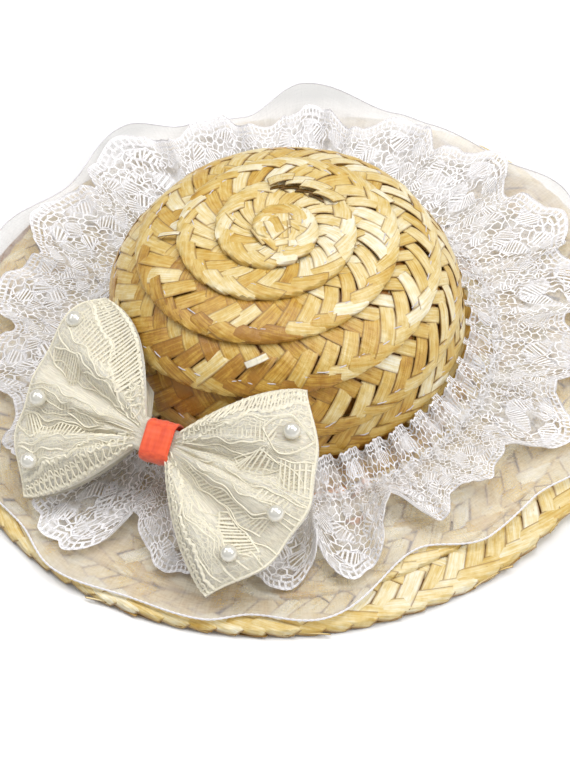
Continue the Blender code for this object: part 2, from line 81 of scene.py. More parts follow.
# Each coil as pairs of turn and outer edge
CROWN_COIL = np.array([
    (0.0, 4.0), (1.0, 14.5), (2.0, 25.0), (3.0, 37.8), (4.0, 52.6), (5.0, 68.0),
    (5.875, 75.5), (6.5, 79.0), (6.9, 79.4),
])
BRIM_COIL = np.array([
    (0.0, 51.0), (1.0, 61.2), (2.0, 71.4), (3.0, 81.6), (3.5, 87.5), (3.75, 92.0),
    (3.875, 95.6), (4.0, 98.6), (4.12, 99.4), (4.875, 99.4),
])
BRIM_WAVE = np.array([
    (-160, 1.2), (-130, 0), (-30, 0), (-8, 2.0), (20, 0), (60, 0), (90, 1.8), (120, 0), (175, 0),
])

# %% Ruffle measures
SEAM_RADIUS = 60 * MM
CLOTH_THICKNESS = 1.0 * MM
ORGANZA_INNER_RADIUS = 58.5 * MM
HEADER_TOP_RADIUS = 53.2 * MM
HEADER_TOP_HEIGHT = 16.3 * MM

# Organza edge as angle, reach and lift
ORGANZA_EDGE = np.array([
    (-178, 101, 3), (-164, 96, 1), (-150, 99, 2.5), (-134, 94, 0.5), (-120, 97, 1), (-108, 95, 0),
    (-96, 99.5, 0.5), (-82, 96.5, 0), (-70, 98, 0.6), (-62, 94.5, 0), (-52, 97.5, 0.8),
    (-31, 82.5, 0.3), (-19, 90.5, 1), (-8, 89.5, 0.2), (6, 98, 1.5), (24, 95, 1), (42, 101, 3.5),
    (58, 97, 2), (68, 99.5, 4), (82, 95.5, 2), (97, 96.5, 3), (104, 98, 3), (121, 107, 5),
    (132, 96.5, 2.5), (143, 98, 3), (153, 105, 5), (169, 96.5, 2.5),
])
# Lace flutes as fold angle, fold reach, crest angle and crest reach
LACE_FLUTES = [
    (-172, 76, -163, 86), (-152, 77, -142, 87), (-132, 79, -123, 86), (-116, 83, -98, 93.5),
    (-90, 75, -78, 86.5), (-65, 80, -56, 87.5), (-50, 72, -44, 87), (-32, 69, -25, 80.5),
    (-18, 75, -12, 78), (-4, 74.5, 6, 86.5), (16, 76, 25, 86), (34, 75, 43, 88), (53, 76, 62, 86),
    (72, 75, 81, 88), (91, 77, 100, 86), (110, 75, 119, 88), (129, 76, 138, 86), (148, 77, 157, 88),
    (167, 75, 177, 86),
]

# %% Bow measures
BOW_PLACE = Vector((0, -60.8 * MM, 25.5 * MM))
BOW_LEAN = math.radians(30)
PINCH_HALF_LENGTH = 5.8 * MM
PINCH_HALF_HEIGHT = 4.7 * MM
BOW_LOOPS = {
    "left": {"pleats": 3.4, "fold": [(-29, -30), (-40, -15.5), (-42.8, -1), (-43.2, 15.5), (-37.5, 28)]},
    "right": {"pleats": 2.8, "fold": [(33, -32), (45, -17), (48.5, -1), (44.5, 14), (33, 29.5)]},
}
KNOT_TURN = math.radians(11)
KNOT_SHIFT = 1.1 * MM
KNOT_WIDTH = 9.0 * MM
KNOT_HALF_HEIGHT = 6.0 * MM
KNOT_HALF_DEPTH = 3.7 * MM
KNOT_CORNER = 2.6 * MM
RIBBON_THICKNESS = 0.35 * MM
PEARL_RADIUS = 2.4 * MM
PEARL_CUT = 1.0 * MM
PEARL_SINK = 0.5 * MM

# %% [markdown]
# ## The camera
#
# The hat was photographed from above, well to the right of its front, with a long lens, so lines
# that are parallel on the hat stay nearly parallel. The camera looks at the point of the floor
# under the middle of the crown, is rolled by about six degrees, and is shifted to frame the hat.

# %% Camera
CAMERA_TURN = math.radians(38.5)
CAMERA_RISE = math.radians(48.16)
CAMERA_ROLL = math.radians(-6.2)
CAMERA_DISTANCE = 0.8
CAMERA_LENS = 174.8
CAMERA_SHIFT = (-0.0089, -0.0382)


def camera_frame():
    back = Vector((0, -math.cos(CAMERA_RISE), math.sin(CAMERA_RISE)))
    right = Vector((1, 0, 0))
    up = Vector((0, math.sin(CAMERA_RISE), math.cos(CAMERA_RISE)))
    rolled_right = right * math.cos(CAMERA_ROLL) + up * math.sin(CAMERA_ROLL)
    rolled_up = up * math.cos(CAMERA_ROLL) - right * math.sin(CAMERA_ROLL)
    axes = Matrix((rolled_right, rolled_up, back)).transposed().to_4x4()
    return Matrix.Rotation(CAMERA_TURN, 4, "Z") @ Matrix.Translation(back * CAMERA_DISTANCE) @ axes


bpy.ops.object.camera_add()
camera = bpy.context.object
camera.name = "studio_camera"
camera.matrix_world = camera_frame()
camera.data.sensor_fit = "HORIZONTAL"
camera.data.lens = CAMERA_LENS
camera.data.shift_x, camera.data.shift_y = CAMERA_SHIFT
bpy.context.scene.camera = camera
print("camera stands at", [round(value, 3) for value in camera.location])

# %% [markdown]
# ## Floor and light
#
# The picture is bright and almost shadowless, as in a light tent: a pale floor, a pale room and
# four soft lamps. The ceiling and the right window are the strongest, so folds still have a lit
# side, and the small window gives the pearls their highlight.

# %% Floor
FLOOR_SIZE = 6
FLOOR_DROP = 0.0002


def plain_material(name, colour, roughness):
    material = bpy.data.materials.new(name)
    material.use_nodes = True
    shader = material.node_tree.nodes["Principled BSDF"]
    shader.inputs["Base Color"].default_value = (*colour, 1)
    shader.inputs["Roughness"].default_value = roughness
    return material


bpy.ops.object.select_all(action="DESELECT")
bpy.ops.mesh.primitive_plane_add(size=FLOOR_SIZE, location=(0, 0, -FLOOR_DROP))
floor = bpy.context.object
floor.name = "studio_floor"
bpy.ops.object.transform_apply(location=True, rotation=True, scale=True)
floor.data.materials.append(plain_material("pale floor", (0.93, 0.93, 0.93), 0.6))

# %% Lamps
def soft_lamp(name, turn, rise, distance, size, power):
    """A square lamp that faces the hat: angles in degrees, lengths in metres, power in watts."""
    bpy.ops.object.light_add(type="AREA")
    lamp = bpy.context.object
    lamp.name = name
    turn, rise = math.radians(turn), math.radians(rise)
    away = Vector((math.sin(turn) * math.cos(rise), -math.cos(turn) * math.cos(rise), math.sin(rise)))
    lamp.location = away * distance
    lamp.rotation_euler = away.to_track_quat("Z", "Y").to_euler()
    lamp.data.size = size
    lamp.data.energy = power


soft_lamp("window_left", -50, 45, 1.3, 0.5, 1.3)
soft_lamp("window_right", 105, 42, 1.4, 0.6, 8.2)
soft_lamp("ceiling", 150, 78, 1.5, 0.9, 11.5)
soft_lamp("small_window", -90, 56, 1.2, 0.40, 3.2)
world = bpy.context.scene.world or bpy.data.worlds.new("pale room")
bpy.context.scene.world = world
world.use_nodes = True
room = world.node_tree.nodes["Background"]
room.inputs["Color"].default_value = (1.0, 0.99, 0.98, 1)
room.inputs["Strength"].default_value = 0.36
bpy.context.scene.view_settings.view_transform = "Standard"

# %% [markdown]
# ## Surfaces to lay things on
#
# A plait or a lace is flat before it is sewn, so it is easiest to draw flat and then to lay on a
# curved surface. These helpers answer one question for many points at once: where is the point
# at this distance along, at this distance across, and this high above the surface?

# %% Surface of the crown
def dome_outline():
    steps = np.linspace(0, 1, 241)
    slope = np.pi / 2 * (1 - steps**1.5)
    radius = CROWN_RADIUS * np.clip(np.cos(slope), 0, None) ** (2 / DOME_POWER)
    rise = CROWN_HEIGHT - CROWN_WIDEST_HEIGHT
    height = CROWN_WIDEST_HEIGHT + rise * np.clip(np.sin(slope), 0, None) ** (2 / DOME_POWER)
    radius[0], height[0] = 0, CROWN_HEIGHT
    radius = np.append(radius, [CROWN_RADIUS, CROWN_RADIUS])
    height = np.append(height, [CROWN_FOOT_HEIGHT, CROWN_FOOT_HEIGHT - 4 * MM])
    reach = np.concatenate([[0], np.cumsum(np.hypot(np.diff(radius), np.diff(height)))])
    return reach, radius, height


DOME_REACH, DOME_R, DOME_Z = dome_outline()
DOME_OUT = np.gradient(-DOME_Z, DOME_REACH)
DOME_UP = np.gradient(DOME_R, DOME_REACH)


def off_dome(reach, rise):
    """Radius and height of a place that far from the crown's top, raised off the dome."""
    radius = np.interp(reach, DOME_REACH, DOME_R) + rise * np.interp(reach, DOME_REACH, DOME_OUT)
    height = np.interp(reach, DOME_REACH, DOME_Z) + rise * np.interp(reach, DOME_REACH, DOME_UP)
    return radius, height


def crown_surface(reach, angle, rise):
    """Points on the crown: reach from its top, angle in radians, rise off the dome."""
    side = np.sign(reach + 1e-9)
    reach = np.abs(reach)
    radius, height = off_dome(reach, rise)
    radius = radius * side
    return np.stack([radius * np.cos(angle), radius * np.sin(angle), height], axis=-1)


def crown_radius_at(height):
    return np.interp(-height, -DOME_Z, DOME_R, left=0.0)


print("the crown measures", round(DOME_REACH[-2] / MM, 1), "mm from its top to its foot")


# %% Surface of the brim
def round_table(rows, angle, column):
    """A value from a table that closes on itself, for angles in degrees."""
    first = rows[0][0]
    turned = (angle - first) % 360
    at = np.append(rows[:, 0] - first, 360)
    values = np.append(rows[:, column], rows[0][column])
    low = np.clip(np.searchsorted(at, turned, side="right") - 1, 0, len(at) - 2)
    share = (turned - at[low]) / (at[low + 1] - at[low])
    share = (1 - np.cos(np.pi * share)) / 2
    return values[low] + share * (values[low + 1] - values[low])


def degrees_from(middle, angle):
    """How far an angle lies from a middle one, between -180 and 180 degrees."""
    return (angle - middle + 180) % 360 - 180


def bell(distance, width):
    """1 in the middle, and falling off smoothly over a width to both sides."""
    return np.exp(-((distance / width) ** 2))


def brim_wave(radius, angle):
    share = np.clip((radius - WAVE_FROM) / (BRIM_RADIUS - WAVE_FROM), 0, None)
    return round_table(BRIM_WAVE, np.degrees(angle), 1) * MM * share**2


def brim_height(radius, angle, rise):
    climb = np.clip(BRIM_FLAT_FROM - radius, 0, None) / (BRIM_FLAT_FROM - BRIM_INNER_RADIUS)
    return BRIM_RISE * climb**1.5 + BRIM_THICKNESS + rise + brim_wave(radius, angle)


def brim_surface(radius, angle, rise):
    height = brim_height(radius, angle, rise)
    return np.stack([radius * np.cos(angle), radius * np.sin(angle), height], axis=-1)


# %% The track of a coiled plait
def coil_track(coil, radius_of):
    """How long the plait is from its start to each turn, measured on its outer edge."""
    turns = np.linspace(0, coil[-1][0], 1600)
    edges = np.interp(turns, coil[:, 0], coil[:, 1] * MM)
    around = 2 * np.pi * np.diff(turns) * radius_of(edges[1:])
    length = np.concatenate([[0], np.cumsum(np.hypot(around, np.diff(edges)))])
    return {"turns": turns, "edges": edges, "length": length}


CROWN_TRACK = coil_track(CROWN_COIL, lambda edge: np.interp(edge, DOME_REACH, DOME_R))
BRIM_TRACK = coil_track(BRIM_COIL, lambda edge: edge)
print("plait in the crown:", round(CROWN_TRACK["length"][-1], 2), "m")
print("plait in the brim:", round(BRIM_TRACK["length"][-1], 2), "m")


def folded_round(inward, rise):
    """Straw that would reach past the plait's edge is folded round it."""
    past = np.clip(0.35 * MM - inward, 0, None)
    return inward + past * 0.9, rise - past * 1.1


def on_coil(track, start, along):
    """The coil's turn, outer edge and angle at a distance along the plait."""
    turn = np.interp(along, track["length"], track["turns"])
    edge = np.interp(turn, track["turns"], track["edges"])
    return turn, edge, np.radians(start - 360 * turn)


def lapped(track, turn, edge, inward, crest, innermost):
    """How high the plait stands over the turn before it, on which it lies."""
    before = np.interp(turn - 1, track["turns"], track["edges"], left=innermost)
    share = np.clip(inward / (edge - before), -0.2, None)
    return crest * (1 - np.sign(share) * np.abs(share) ** 1.3)


def on_crown_plait(along, inward, rise):
    """A point of the crown's plait, measured along its edge and inward from it."""
    inward, rise = folded_round(inward, rise)
    turn, edge, angle = on_coil(CROWN_TRACK, CROWN_START, along)
    lap = lapped(CROWN_TRACK, turn, edge, inward, CROWN_CREST, 0.0)
    return crown_surface(edge - inward, angle, rise + lap - LAP - 0.15 * MM)


def on_brim_plait(along, inward, rise):
    inward, rise = folded_round(inward, rise)
    turn, edge, angle = on_coil(BRIM_TRACK, BRIM_START, along)
    # The last turn lies flatter than the others
    crest = BRIM_CREST * np.interp(turn, [3.6, 4.0], [1.0, 0.35])
    lap = lapped(BRIM_TRACK, turn, edge, inward, crest, BRIM_INNER_RADIUS)
    return brim_surface(edge - inward, angle, np.maximum(rise + lap, 0.1 * MM - BRIM_THICKNESS))


# %% [markdown]
# ## Straw
#
# Split straw is flat, glossy and streaked along its length, from honey gold to nearly white.
# The streaks come from noise that is stretched along each strip, so they need a map that knows
# which way the strip runs. Each strip also carries one number, its tone, which picks its colour.

# %% Straw finish
SOFT = {"Sheen Weight": 0.3}


def material_and_shader(name, colour, roughness, settings):
    """A plain material with more of its shader's settings, and the shader to link to."""
    material = plain_material(name, colour, roughness)
    shader = material.node_tree.nodes["Principled BSDF"]
    for setting, value in settings.items():
        shader.inputs[setting].default_value = value
    return material, shader


def add_node(material, kind, **settings):
    node = material.node_tree.nodes.new(kind)
    for name, value in settings.items():
        if name in node.inputs:
            node.inputs[name].default_value = value
        else:
            setattr(node, name.lower(), value)
    return node


def link(material, start, output, end, socket):
    material.node_tree.links.new(start.outputs[output], end.inputs[socket])


def colour_ramp(material, stops):
    node = material.node_tree.nodes.new("ShaderNodeValToRGB")
    ramp = node.color_ramp
    while len(ramp.elements) < len(stops):
        ramp.elements.new(0.5)
    for element, (place, colour) in zip(ramp.elements, stops):
        element.position = place
        element.color = (*colour, 1)
    return node


def stretched_noise(material, flat, scale, turn=0.0, **settings):
    """Noise over a map that is stretched along and across, and turned."""
    placed = add_node(material, "ShaderNodeMapping", Scale=scale, Rotation=(0, 0, turn))
    noise = add_node(material, "ShaderNodeTexNoise", **settings)
    link(material, flat, "UV", placed, "Vector")
    link(material, placed, "Vector", noise, "Vector")
    return noise


def ranged(material, start, output, **limits):
    """A value spread from one range to another; limits that aren't named stay 0 and 1."""
    node = add_node(material, "ShaderNodeMapRange")
    for name, limit in limits.items():
        node.inputs[name.replace("_", " ").title()].default_value = limit
    link(material, start, output, node, "Value")
    return node


def math_node(material, operation, *parts):
    """One step of arithmetic: a node is given with its output, a number as it is."""
    node = add_node(material, "ShaderNodeMath", operation=operation)
    for socket, part in enumerate(parts):
        if isinstance(part, tuple):
            link(material, *part, node, socket)
        else:
            node.inputs[socket].default_value = part
    return node, "Value"


def bumped(material, start, output, strength, distance):
    bump = add_node(material, "ShaderNodeBump", Strength=strength, Distance=distance)
    link(material, start, output, bump, "Height")
    return bump


def tinted(colour, tint):
    return tuple(part * dye for part, dye in zip(colour, tint))


STRAW_COLOURS = [
    (0.00, (0.36, 0.165, 0.018)),
    (0.22, (0.54, 0.31, 0.045)),
    (0.45, (0.64, 0.45, 0.130)),
    (0.68, (0.74, 0.60, 0.300)),
    (0.88, (0.80, 0.72, 0.49)),
    (1.00, (0.85, 0.80, 0.65)),
]


def straw_finish(name, tint):
    """Straw whose strips take their colour from the attribute tone, multiplied by a tint."""
    material, shader = material_and_shader(name, (0.7, 0.47, 0.17), 0.42, {"Specular IOR Level": 0.55})
    flat = add_node(material, "ShaderNodeUVMap", uv_map="strip")
    tone = add_node(material, "ShaderNodeAttribute", attribute_name="tone")
    streaks = stretched_noise(material, flat, (0.11, 1.5, 1), Scale=1.0, Detail=6.0, Roughness=0.72)
    cloud = add_node(material, "ShaderNodeTexNoise", Scale=0.28, Detail=2.0)
    link(material, flat, "UV", cloud, "Vector")

    # Tone of this strip, moved a little by its streaks and by a slow cloud
    shifted = math_node(material, "MULTIPLY_ADD", (streaks, "Fac"), 1.35, (tone, "Fac"))
    level = math_node(material, "MULTIPLY_ADD", (cloud, "Fac"), 0.55, shifted)
    centred = math_node(material, "SUBTRACT", level, 0.95)
    ramp = colour_ramp(material, [(place, tinted(colour, tint)) for place, colour in STRAW_COLOURS])
    link(material, *centred, ramp, "Fac")

    # Small brown flecks along the fibres
    flecks = stretched_noise(material, flat, (0.55, 2.6, 1), Scale=0.9, Detail=3.0)
    rare = colour_ramp(material, [(0.0, (0, 0, 0)), (0.69, (0, 0, 0)), (0.76, (1, 1, 1))])
    link(material, flecks, "Fac", rare, "Fac")
    mixed = add_node(material, "ShaderNodeMix", data_type="RGBA")
    mixed.inputs[7].default_value = (0.42, 0.22, 0.06, 1)
    link(material, rare, "Color", mixed, 0)
    link(material, ramp, "Color", mixed, 6)

    # A thin dark line round each strip: painted shade where the strips meet, broken up by the streaks
    border = add_node(material, "ShaderNodeUVMap", uv_map="outline")
    split = add_node(material, "ShaderNodeSeparateXYZ")
    link(material, border, "UV", split, "Vector")
    sides = []
    for output, start in (("X", 0.91), ("Y", 0.76)):
        size = math_node(material, "ABSOLUTE", (split, output))
        sides.append((ranged(material, *size, from_min=start, to_max=1.7), "Result"))
    rim = math_node(material, "MAXIMUM", *sides)
    uneven = math_node(material, "MULTIPLY", rim, (streaks, "Fac"))
    outlined = add_node(material, "ShaderNodeMix", data_type="RGBA")
    outlined.inputs[7].default_value = (*tinted((0.24, 0.115, 0.022), tint), 1)
    link(material, *uneven, outlined, 0)
    link(material, mixed, 2, outlined, 6)
    link(material, outlined, 2, shader, "Base Color")

    gloss = ranged(material, streaks, "Fac", to_min=0.22, to_max=0.52)
    link(material, gloss, "Result", shader, "Roughness")
    bump = bumped(material, streaks, "Fac", 0.75, 0.0002)
    crinkles = stretched_noise(material, flat, (0.9, 0.35, 1), Scale=0.7, Detail=3.0)
    crumpled = bumped(material, crinkles, "Fac", 0.75, 0.0005)
    link(material, bump, "Normal", crumpled, "Normal")
    link(material, crumpled, "Normal", shader, "Normal")
    return material


straw = straw_finish("straw strips", (1.0, 1.0, 1.0))
# The shells under the strips of crown and brim get this darker tint: painted shade for what shows through
# the gaps
straw_in_shade = straw_finish("straw under the strips", (0.60, 0.38, 0.22))
print("straw finishes:", straw.name, "and", straw_in_shade.name)

# %% [markdown]
# ## One strip of straw
#
# A plait is made of one thing repeated: a flat strip that rises over two others and dives under
# the next two. Only the part that shows is worth modelling. It starts as a grid, its border is
# pulled down to give the straw its thickness, and the underside is closed with one face.

# %% Model the strip
def model_strip(name, along, across):
    """A strip two units long, two wide and one thick, with its top at height 0."""
    bpy.ops.object.select_all(action="DESELECT")
    bpy.ops.mesh.primitive_grid_add(x_subdivisions=along, y_subdivisions=across, size=2)
    strip = bpy.context.object
    strip.name = name
    bpy.ops.object.mode_set(mode="EDIT")
    bpy.ops.mesh.select_mode(type="EDGE")
    bpy.ops.mesh.select_all(action="DESELECT")
    bpy.ops.mesh.select_non_manifold()
    bpy.ops.mesh.extrude_edges_move(TRANSFORM_OT_translate={"value": (0, 0, -1)})
    bpy.ops.mesh.edge_face_add()
    bpy.ops.mesh.select_all(action="SELECT")
    bpy.ops.mesh.normals_make_consistent(inside=False)
    bpy.ops.object.mode_set(mode="OBJECT")
    return strip


def take_form(thing):
    """The corners and faces of a modelled piece, which is then put away."""
    corners = np.array([corner.co[:] for corner in thing.data.vertices])
    faces = [tuple(face.vertices) for face in thing.data.polygons]
    bpy.data.objects.remove(thing, do_unlink=True)
    return corners, faces


STRIP = take_form(model_strip("straw_strip", 8, 4))
THIN_STRIP = take_form(model_strip("backing_strip", 4, 2))
print("one strip has", len(STRIP[1]), "faces, one backing strip", len(THIN_STRIP[1]))


# %% [markdown]
# ## Laying the strips
#
# Each copy gets its own length, width, direction and tilt, all a little uneven, as hands make
# them. The middle of a strip is arched, its ends dive under its neighbours, and the strips at
# the plait's edge are folded round it, so their outer side bends down.

# %% Bend one copy for each place
def bend_strips(form, cells):
    """Flat places (along, inward, rise) and strip maps for a copy of the strip in each cell."""
    corners = form[0]
    x, y, z = (corners[:, n][None, :] for n in range(3))
    get = lambda key: cells[key][:, None]
    taper = 1 - get("taper") * np.abs(x) ** 3
    s = x * get("half_length") + get("skew") * y
    t = y * get("half_width") * taper
    fall = np.clip((np.abs(x) - get("flat_to")) / (1 - get("flat_to")), 0, 1)
    rise = get("top") - get("dive") * fall * fall * (3 - 2 * fall)
    rise = rise - get("arch") * y**2 + get("roll") * t + get("pitch") * s
    outer = np.clip(-y - 0.1, 0, None) / 0.9
    rise = rise - get("fold") * outer**2.2
    rise = rise + z * get("thickness")
    cos, sin = np.cos(get("turn")), np.sin(get("turn"))
    along = get("along") + s * cos - t * sin
    inward = get("inward") + s * sin + t * cos
    maps = np.stack([s / MM + get("map_x"), t / MM + get("map_y")], axis=-1)
    outline = np.stack(np.broadcast_arrays(x, y + 0 * s), axis=-1)
    return along, inward, rise, maps, outline


def repeat_faces(faces, corners_each, copies, facing=1):
    """The coil runs clockwise, which turns a laid shape inside out, so its faces are turned."""
    turned = [face[::-1] for face in faces] if facing > 0 else faces
    return [tuple(n + copy * corners_each for n in face) for copy in range(copies) for face in turned]


def woven_mesh(name, batches, place, material, facing=1):
    """Joins copies of strips, laid on a surface, into one woven piece."""
    points, faces, maps, tones, outlines = [], [], [], [], []
    count = 0
    for form, cells in batches:
        along, inward, rise, flat, outline = bend_strips(form, cells)
        points.append(place(along, inward, rise).reshape(-1, 3))
        copies, each = along.shape
        laid = repeat_faces(form[1], each, copies, facing)
        faces += [tuple(n + count for n in face) for face in laid]
        maps.append(flat.reshape(-1, 2))
        outlines.append(outline.reshape(-1, 2))
        tones.append(np.repeat(cells["tone"], each))
        count += copies * each
    return finished_mesh(
        name, np.concatenate(points), faces, material, np.concatenate(maps), np.concatenate(tones),
        outlines=np.concatenate(outlines),
    )


def finished_mesh(name, points, faces, material, maps=None, tones=None, map_name="strip", outlines=None):
    """An object from points and faces, with the maps and the tones that its material reads."""
    mesh = bpy.data.meshes.new(name)
    mesh.from_pydata(points.tolist(), [], faces)
    mesh.materials.append(material)
    order = np.zeros(len(mesh.loops), dtype=np.int64)
    mesh.loops.foreach_get("vertex_index", order)
    for layer_name, flat in ((map_name, maps), ("outline", outlines)):
        if flat is not None:
            layer = mesh.uv_layers.new(name=layer_name)
            layer.data.foreach_set("uv", flat[order].astype(np.float32).ravel())
    if tones is not None:
        tone = mesh.attributes.new("tone", "FLOAT", "POINT")
        tone.data.foreach_set("value", tones.astype(np.float32))
    mesh.shade_smooth()
    mesh.set_sharp_from_angle(angle=math.radians(50))
    thing = bpy.data.objects.new(name, mesh)
    bpy.context.scene.collection.objects.link(thing)
    return thing


# %% Where the strips of a plait lie
def plait_cells(track, pitch, inward, turn, seed, first=0.0, **shape):
    """One course of strips along a coil, evenly spaced and a little uneven."""
    random = np.random.default_rng(seed)
    count = int(track["length"][-1] / pitch)
    along = (np.arange(count) + first) * pitch
    some = lambda spread: random.normal(0, spread, count)
    choice = random.random(count)
    tone = np.where(choice < 0.66, random.uniform(0.34, 0.56, count), random.uniform(0.56, 0.78, count))
    tone = np.where(choice > 0.94, random.uniform(0.84, 1.0, count), tone)
    tone = np.where(choice < 0.07, random.uniform(0.24, 0.35, count), tone)
    cells = {
        "along": along + some(0.25 * MM),
        "inward": inward + some(0.18 * MM),
        "turn": turn + some(0.06),
        "half_length": shape["half_length"] * (1 + some(0.05)),
        "half_width": shape["half_width"] * (1 + some(0.05)),
        "taper": np.full(count, shape.get("taper", 0.04)),
        "skew": some(0.2 * MM) + shape.get("skew", 0.0),
        "flat_to": np.full(count, shape.get("flat_to", 0.60)),
        "top": shape.get("top", 0.32 * MM) + some(0.06 * MM),
        "dive": np.full(count, shape.get("dive", 0.62 * MM)),
        "arch": 0.03 * MM + np.abs(some(0.04 * MM)),
        "roll": some(0.055) + shape.get("roll", 0.0),
        "pitch": some(0.022) + shape.get("lean", 0.0),
        "fold": np.full(count, shape.get("fold", 0.0)),
        "thickness": np.full(count, 0.22 * MM),
        "map_x": random.uniform(0, 900, count),
        "map_y": random.uniform(0, 900, count),
        "tone": tone,
    }
    return cells


def keep_cells(cells, keep):
    return {key: values[keep] for key, values in cells.items()}


def edge_at(track, along):
    return np.interp(along, track["length"], track["edges"])


# %% The courses of one plait
PITCH = 7.3 * MM
HALF_WIDTH = 2.62 * MM
HALF_LENGTH = 6.9 * MM


def plait_courses(track, seed, edge_fold):
    """The folded edge, the middle course and the inner course of a plait."""
    edge = plait_cells(
        track, PITCH, 2.2 * MM, math.radians(19), seed, first=0.1, half_length=6.4 * MM,
        half_width=2.45 * MM, top=0.46 * MM, fold=edge_fold, roll=0.02, lean=0.032, flat_to=0.75,
        taper=0.08, dive=0.4 * MM, skew=-1.2 * MM,
    )
    middle = plait_cells(
        track, PITCH, 7.5 * MM, math.radians(-45), seed + 1, first=0.62,
        half_length=HALF_LENGTH, half_width=HALF_WIDTH, top=0.42 * MM,
    )
    inner = plait_cells(
        track, PITCH, 14.6 * MM, math.radians(45), seed + 2, first=0.15,
        half_length=HALF_LENGTH, half_width=HALF_WIDTH,
    )
    return [edge, middle, inner]


# %% [markdown]
# ## The crown
#
# The coil starts in the middle of the top. There the plait is folded on itself, which no regular
# pattern gives, so a few strips are laid there round the middle, crossing one another.

# %% Crown strips outside
def crown_courses():
    batches = []
    for cells in plait_courses(CROWN_TRACK, 11, 0.5 * MM):
        edge = edge_at(CROWN_TRACK, cells["along"])
        turn = np.interp(cells["along"], CROWN_TRACK["length"], CROWN_TRACK["turns"])
        # On the right of the picture the plait is stretched open, and dark gaps show
        aside = degrees_from(20, CROWN_START - 360 * turn)
        cells["tone"] = cells["tone"] + 0.19 * bell(edge, 30 * MM) - 0.05
        # Painted light and shade: the right side is made paler where the light falls on it, and the front,
        # where the bow stands, is made a deeper gold with painted shade
        cells["tone"] += 0.17 * bell(aside, 60)
        cells["tone"] -= 0.26 * bell(aside + 110, 58) * (edge > 34 * MM)
        cells["tone"] -= 0.13 * bell(aside + 75, 50) * (edge > 24 * MM)
        open_side = bell(aside, 42) * (edge > 30 * MM)
        cells["tone"] = np.minimum(cells["tone"], 0.88)
        # The tight turns near the middle spread the strips, so they are laid wider there
        tight = bell(edge, 34 * MM) * (cells["fold"] == 0)
        cells["half_width"] = cells["half_width"] * (1 - 0.17 * open_side + 0.2 * tight)
        batches.append((STRIP, keep_cells(cells, cells["inward"] < edge - 1.2 * MM)))
    return batches


crown_strips = crown_courses()
crown_plait = woven_mesh("crown_plait", crown_strips, on_crown_plait, straw)
print("crown plait:", sum(len(cells["tone"]) for _, cells in crown_strips), "strips")


# %% Crossed strips on the middle of the top
def loose_cells(count, seed, **shape):
    """Strips that follow no coil, one for each place that is chosen afterwards."""
    return plait_cells({"length": [0, (count + 0.5) * MM]}, 1 * MM, 0.0, 0.0, seed, **shape)


def middle_strips():
    random = np.random.default_rng(5)
    count = 15
    spin = np.linspace(0, 2 * np.pi, count, endpoint=False) * 1.7
    cells = loose_cells(count, 6, half_length=3.5 * MM, half_width=2.2 * MM, dive=0.22 * MM)
    away = np.linspace(6.2, 0.3, count) * MM
    cells["along"] = away * np.cos(spin)
    cells["inward"] = away * np.sin(spin)
    cells["turn"] = spin + np.pi / 2 + random.normal(0, 0.5, count)
    cells["top"] = np.linspace(0.15, 0.55, count) * MM
    cells["tone"] = random.uniform(0.4, 0.85, count)
    return cells


def on_crown_top(along, inward, rise):
    radius = np.hypot(along, inward)
    height = np.interp(radius, DOME_R[:200], DOME_Z[:200]) + rise
    return np.stack([inward, along, height], axis=-1)


crown_middle = woven_mesh("crown_middle", [(STRIP, middle_strips())], on_crown_top, straw)

# %% [markdown]
# Under the strips lies a dark shell, so that light doesn't leak through the plait; its dark colour is
# painted shade for what shows through the gaps. Inside it lies a second layer of strips, which is
# what shows when the hat is turned over. The shell is drawn out ring by ring from one circle, as a
# potter pulls up a wall, and then gets its thickness.

# %% A form pulled up ring by ring
def pulled_form(name, rings, sides=96, closed_ring=False):
    radius, height = rings[0]
    bpy.ops.object.select_all(action="DESELECT")
    bpy.ops.mesh.primitive_circle_add(vertices=sides, radius=radius, location=(0, 0, 0))
    form = bpy.context.object
    form.name = name
    bpy.ops.object.mode_set(mode="EDIT")
    bpy.ops.mesh.select_mode(type="EDGE")
    bpy.ops.mesh.select_all(action="SELECT")
    bpy.ops.transform.translate(value=(0, 0, height))
    for (old_radius, old_height), (radius, height) in zip(rings, rings[1:]):
        bpy.ops.mesh.extrude_edges_move(
            TRANSFORM_OT_translate={"value": (0, 0, height - old_height)}
        )
        share = radius / old_radius
        bpy.ops.transform.resize(value=(share, share, 1), center_override=(0, 0, height))
    if closed_ring:
        bpy.ops.mesh.select_all(action="DESELECT")
        bpy.ops.mesh.select_non_manifold()
        bpy.ops.mesh.bridge_edge_loops()
    else:
        bpy.ops.mesh.edge_face_add()
    bpy.ops.mesh.select_all(action="SELECT")
    bpy.ops.mesh.normals_make_consistent(inside=False)
    bpy.ops.object.mode_set(mode="OBJECT")
    return form


def apply_modifiers(thing):
    bpy.ops.object.select_all(action="DESELECT")
    thing.select_set(True)
    bpy.context.view_layer.objects.active = thing
    for modifier in list(thing.modifiers):
        bpy.ops.object.modifier_apply(modifier=modifier.name)


def give_maps(thing, material, tone):
    """A shell seen only through gaps takes the same maps as the strips."""
    mesh = thing.data
    mesh.materials.clear()
    mesh.materials.append(material)
    layer = mesh.uv_layers.get("strip") or mesh.uv_layers.new(name="strip")
    for loop in mesh.loops:
        place = mesh.vertices[loop.vertex_index].co
        layer.data[loop.index].uv = (place.x / MM, place.y / MM)
    tones = mesh.attributes.new("tone", "FLOAT", "POINT")
    tones.data.foreach_set("value", np.full(len(mesh.vertices), tone, dtype=np.float32))
    mesh.shade_smooth()


def dome_rings(rise, reaches):
    radii, heights = off_dome(reaches, rise)
    return list(zip(radii.tolist(), heights.tolist()))


